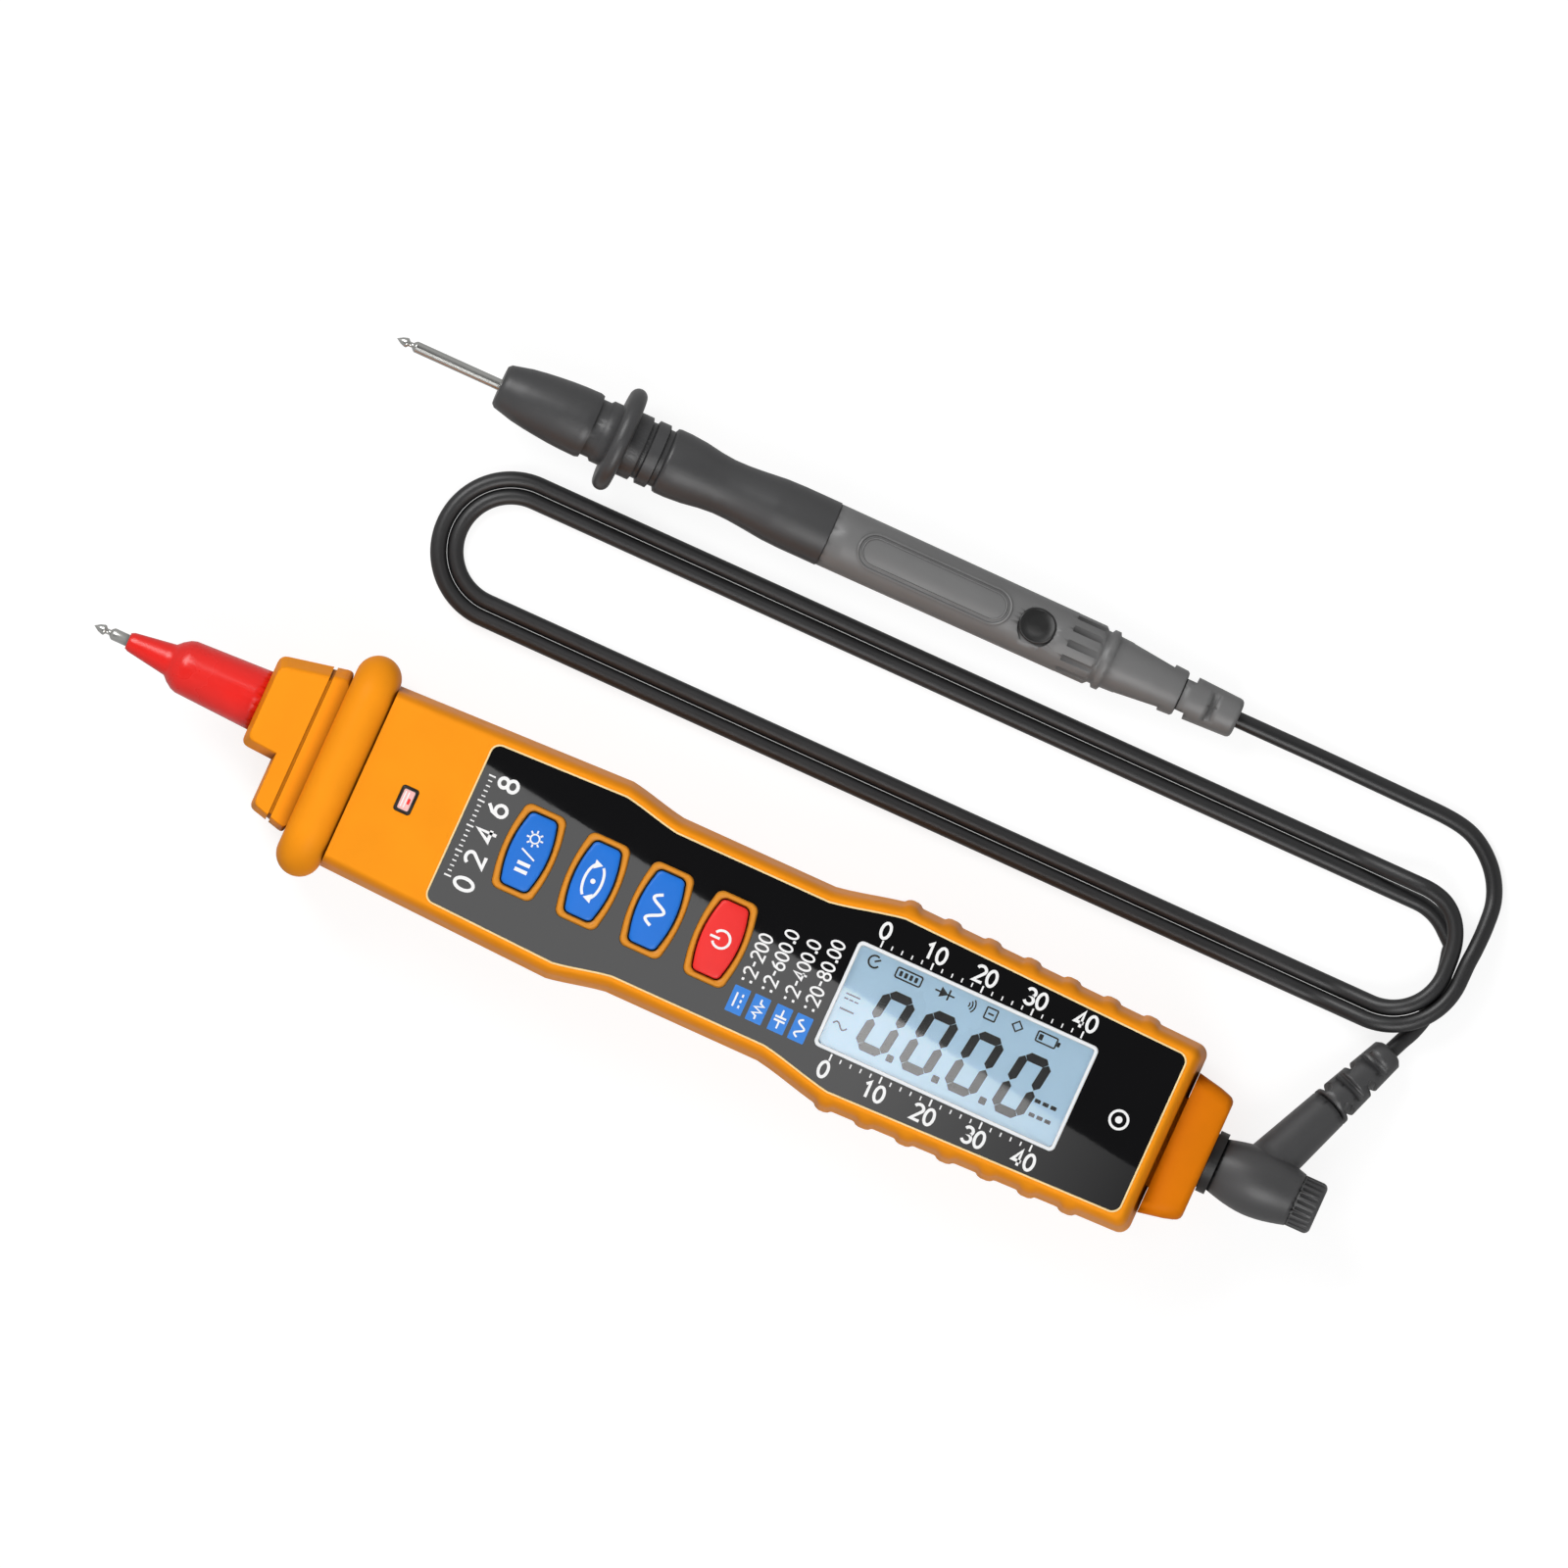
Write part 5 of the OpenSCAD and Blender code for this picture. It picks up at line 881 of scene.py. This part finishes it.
# Sleeve, needles, plug, pen, door and screws: smoothed copies of their own solids
for look, rides, crease, slot, names in (
        (sleeveRed, "meter", 40, "sleeve_red", "probe_sleeve"),
        (needleSteel, "meter", 40, "needle_steel", "probe_needle"),
        (leadBlack, "test_lead", 30, "plug_grey", "plug_body plug_end_cap plug_strain_relief"),
        (blackPlain, "test_lead", 30, "plug_black", "plug_collar"),
        (penBlack, "test_lead", 26, "pen_black", "pen_nose pen_guard pen_grip"),
        (penGrey, "test_lead", 30, "pen_grey", "pen_handle pen_end_cap"),
        (needleSteel, "test_lead", 40, "needle_steel", "pen_needle"),
        (orange, "battery_door", 30, "orange_plastic", "battery_door"),
        (screwSteel, "meter", 30, "fastener_steel", "case_screws")):
    for name in names.split():
        smoothCopy(name, look, rides, crease)

# Plaque and round inlay on the pen's handle, wrapped on its tapering surface
plaque = {"x": 20.7, "half": 13.4, "wide": 3.1, "off": 0.5, "r0": 5.35, "r1": 5.15, "from": 2.2, "to": 49.8}
inlay = {"x": 39.0, "levels": ((3.1, -0.3), (3.1, 0.06), (2.95, 0.14), (2.75, 0.14), (2.6, 0.03), (1.5, 0.03),
                               (0.1, 0.03))}


def onHandle(u, v, out):
    r = mix(plaque["r0"], plaque["r1"], share(u, plaque["from"], plaque["to"])) + out
    a = (v + plaque["off"]) / r
    return penSpot(u) + Vector((0, 1, 0)) * r * math.sin(a) + Vector((-penWay.z, 0, penWay.x)) * r * math.cos(a)


for name, grow, r in (("plaqueRim", 0, 0.24), ("plaqueLine", -0.75, 0.14)):
    loop = roundRect(plaque["x"], 0, plaque["half"] + grow, plaque["wide"] + grow, plaque["wide"] + grow - 0.01, 12)
    grown(name, beadAlong, {"Radius": r * mm, "Sides": 8}, Matrix(), penGrey, "test_lead",
          path=[onHandle(p[0], p[1], 0.02) for p in loop])
rings = [[onHandle(inlay["x"] + r * math.cos(a), r * math.sin(a), out) for a in
          (2 * math.pi * k / 48 for k in range(48))] for r, out in inlay["levels"]]
loft("inlayDisc", rings, blackPlain, "test_lead", ["pen_inlay"], "pen_black", crease=50)
print("test lead made")

finishes = {
    "backlight_panel": frameWhite, "zebra_strip": blackPlain, "main_pcb": boardGreen, "mcu_chip": blackPlain,
    "tact_switches": blackPlain, "indicator_led": sleeveRed, "ncv_antenna": brass, "probe_contact": brass,
    "jack_insulator": blackPlain, "jack_sleeve": brass, "jack_tab": brass, "buzzer": blackPlain,
    "ptc_thermistor": inkBlue, "battery_tray": blackPlain, "battery_cells": blackPlain,
    "battery_springs": screwSteel, "battery_plates": screwSteel, "battery_door_screw": screwSteel,
    "plug_shroud": blackPlain, "plug_pin": needleSteel,
}
for name, look in finishes.items():
    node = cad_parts[name]
    node.data.materials.clear()
    node.data.materials.append(look)

# Floor: it glows for the camera and less in reflections, and a camera below it looks through at the back
floorPlane = {"half": 3, "z": -0.0001, "tone": 0.22, "glow": 0.84, "mirrored": 0.32}
floorMat = bpy.data.materials.new("paleFloor")
floorMat.use_nodes = True
tree = floorMat.node_tree
tree.nodes.clear()
out, both, shade, glow, seen = made(tree, "OutputMaterial", "AddShader", "BsdfDiffuse", "Emission", "LightPath")
under, side, through = made(tree, "BsdfTransparent", "NewGeometry", "MixShader")
direct, bright, mirrored, either, below = made(tree, *["Math"] * 5)
put(shade, Color=(floorPlane["tone"],) * 3 + (1,))
direct.operation = either.operation = "MAXIMUM"
bright.operation = mirrored.operation = below.operation = "MULTIPLY"
bright.inputs[1].default_value, mirrored.inputs[1].default_value = floorPlane["glow"], floorPlane["mirrored"]
wire(tree, (seen.outputs["Is Camera Ray"], direct.inputs[0]),
     (seen.outputs["Is Transmission Ray"], direct.inputs[1]), (direct.outputs[0], bright.inputs[0]),
     (seen.outputs["Is Glossy Ray"], mirrored.inputs[0]), (bright.outputs[0], either.inputs[0]),
     (mirrored.outputs[0], either.inputs[1]), (either.outputs[0], glow.inputs["Strength"]),
     (shade.outputs[0], both.inputs[0]), (glow.outputs[0], both.inputs[1]),
     (side.outputs["Backfacing"], below.inputs[0]), (seen.outputs["Is Camera Ray"], below.inputs[1]),
     (below.outputs[0], through.inputs["Fac"]), (both.outputs[0], through.inputs[1]),
     (under.outputs[0], through.inputs[2]), (through.outputs[0], out.inputs["Surface"]))
floor = bpy.data.meshes.new("floor")
floor.from_pydata([(x * floorPlane["half"], y * floorPlane["half"], floorPlane["z"])
                   for x, y in ((-1, -1), (1, -1), (1, 1), (-1, 1))], [], [(0, 1, 2, 3)])
floor.materials.append(floorMat)
floorObj = linked("floor", floor)
floorObj.visible_shadow = False  # light from below reaches the back, and the painted crease shade doesn't darken parts beside the floor


# Lamps and world
def softLamp(name, at, size, power, aim=(10, 20, 0), turn=None):
    data = bpy.data.lights.new(name, "AREA")
    data.shape, data.size, data.size_y = "RECTANGLE", size[0] * mm, size[1] * mm
    data.energy = power
    obj = linked(name, data)
    obj.location = Vector(at) * mm
    obj.rotation_euler = (0, 0, turn) if turn is not None else \
        (Vector(aim) - Vector(at)).to_track_quat("-Z", "Y").to_euler()
    obj.visible_camera = False
    return obj


softLamp("keyLamp", (-420, 320, 560), (420, 420), 3.5)
softLamp("fillLamp", (240, -390, 600), (420, 400), 2.6)
softLamp("underLamp", (40, 60, -620), (500, 500), 3.0)
# The flat lamp's edge shows as the line of gloss across the panel and the display
glossLine = {"from": (-23.4, 8.9), "to": (91.2, -6.2), "long": 200, "deep": 70, "high": 380, "power": 0.11}
start, end = Vector(glossLine["from"]), Vector(glossLine["to"])
run = (end - start).normalized()
centre = (start + end) / 2 - Vector((-run.y, run.x)) * glossLine["deep"] / 2
gloss = softLamp("glossLamp", (centre.x, centre.y, glossLine["high"]), (glossLine["long"], glossLine["deep"]),
                 glossLine["power"], turn=math.atan2(run.y, run.x))
gloss.data.use_nodes = True
tree = gloss.data.node_tree
place, split, fade = made(tree, "NewGeometry", "SeparateXYZ", "MapRange")
put(fade, From_Min=0.55, From_Max=0.82, To_Min=1.0, To_Max=0.1)
wire(tree, (place.outputs["Parametric"], split.inputs[0]), (split.outputs["X"], fade.inputs["Value"]),
     (fade.outputs["Result"], tree.nodes["Emission"].inputs["Strength"]))
world = bpy.data.worlds.new("studio")
bpy.context.scene.world = world
world.use_nodes = True
tree = world.node_tree
sky = tree.nodes["Background"]
put(sky, Color=(1, 1, 1, 1))
seen, spot, level, glossy, split, total = made(tree, "LightPath", "TexCoord", "MapRange", "MapRange",
                                               "SeparateXYZ", "Mix")
direct, zenith = made(tree, "Math", "Math")
direct.operation, zenith.operation = "MAXIMUM", "ABSOLUTE"
put(level, To_Min=0.24, To_Max=1.0)
put(glossy, From_Min=0.5, From_Max=0.97, To_Min=0.6, To_Max=0.12)
wire(tree, (seen.outputs["Is Camera Ray"], direct.inputs[0]),
     (seen.outputs["Is Transmission Ray"], direct.inputs[1]), (direct.outputs[0], level.inputs["Value"]),
     (spot.outputs["Generated"], split.inputs[0]), (split.outputs["Z"], zenith.inputs[0]),
     (zenith.outputs[0], glossy.inputs["Value"]), (seen.outputs["Is Glossy Ray"], total.inputs["Factor"]),
     (level.outputs["Result"], total.inputs["A"]), (glossy.outputs["Result"], total.inputs["B"]),
     (total.outputs["Result"], sky.inputs["Strength"]))
bpy.context.scene.view_settings.view_transform = "Standard"
print("lights set")
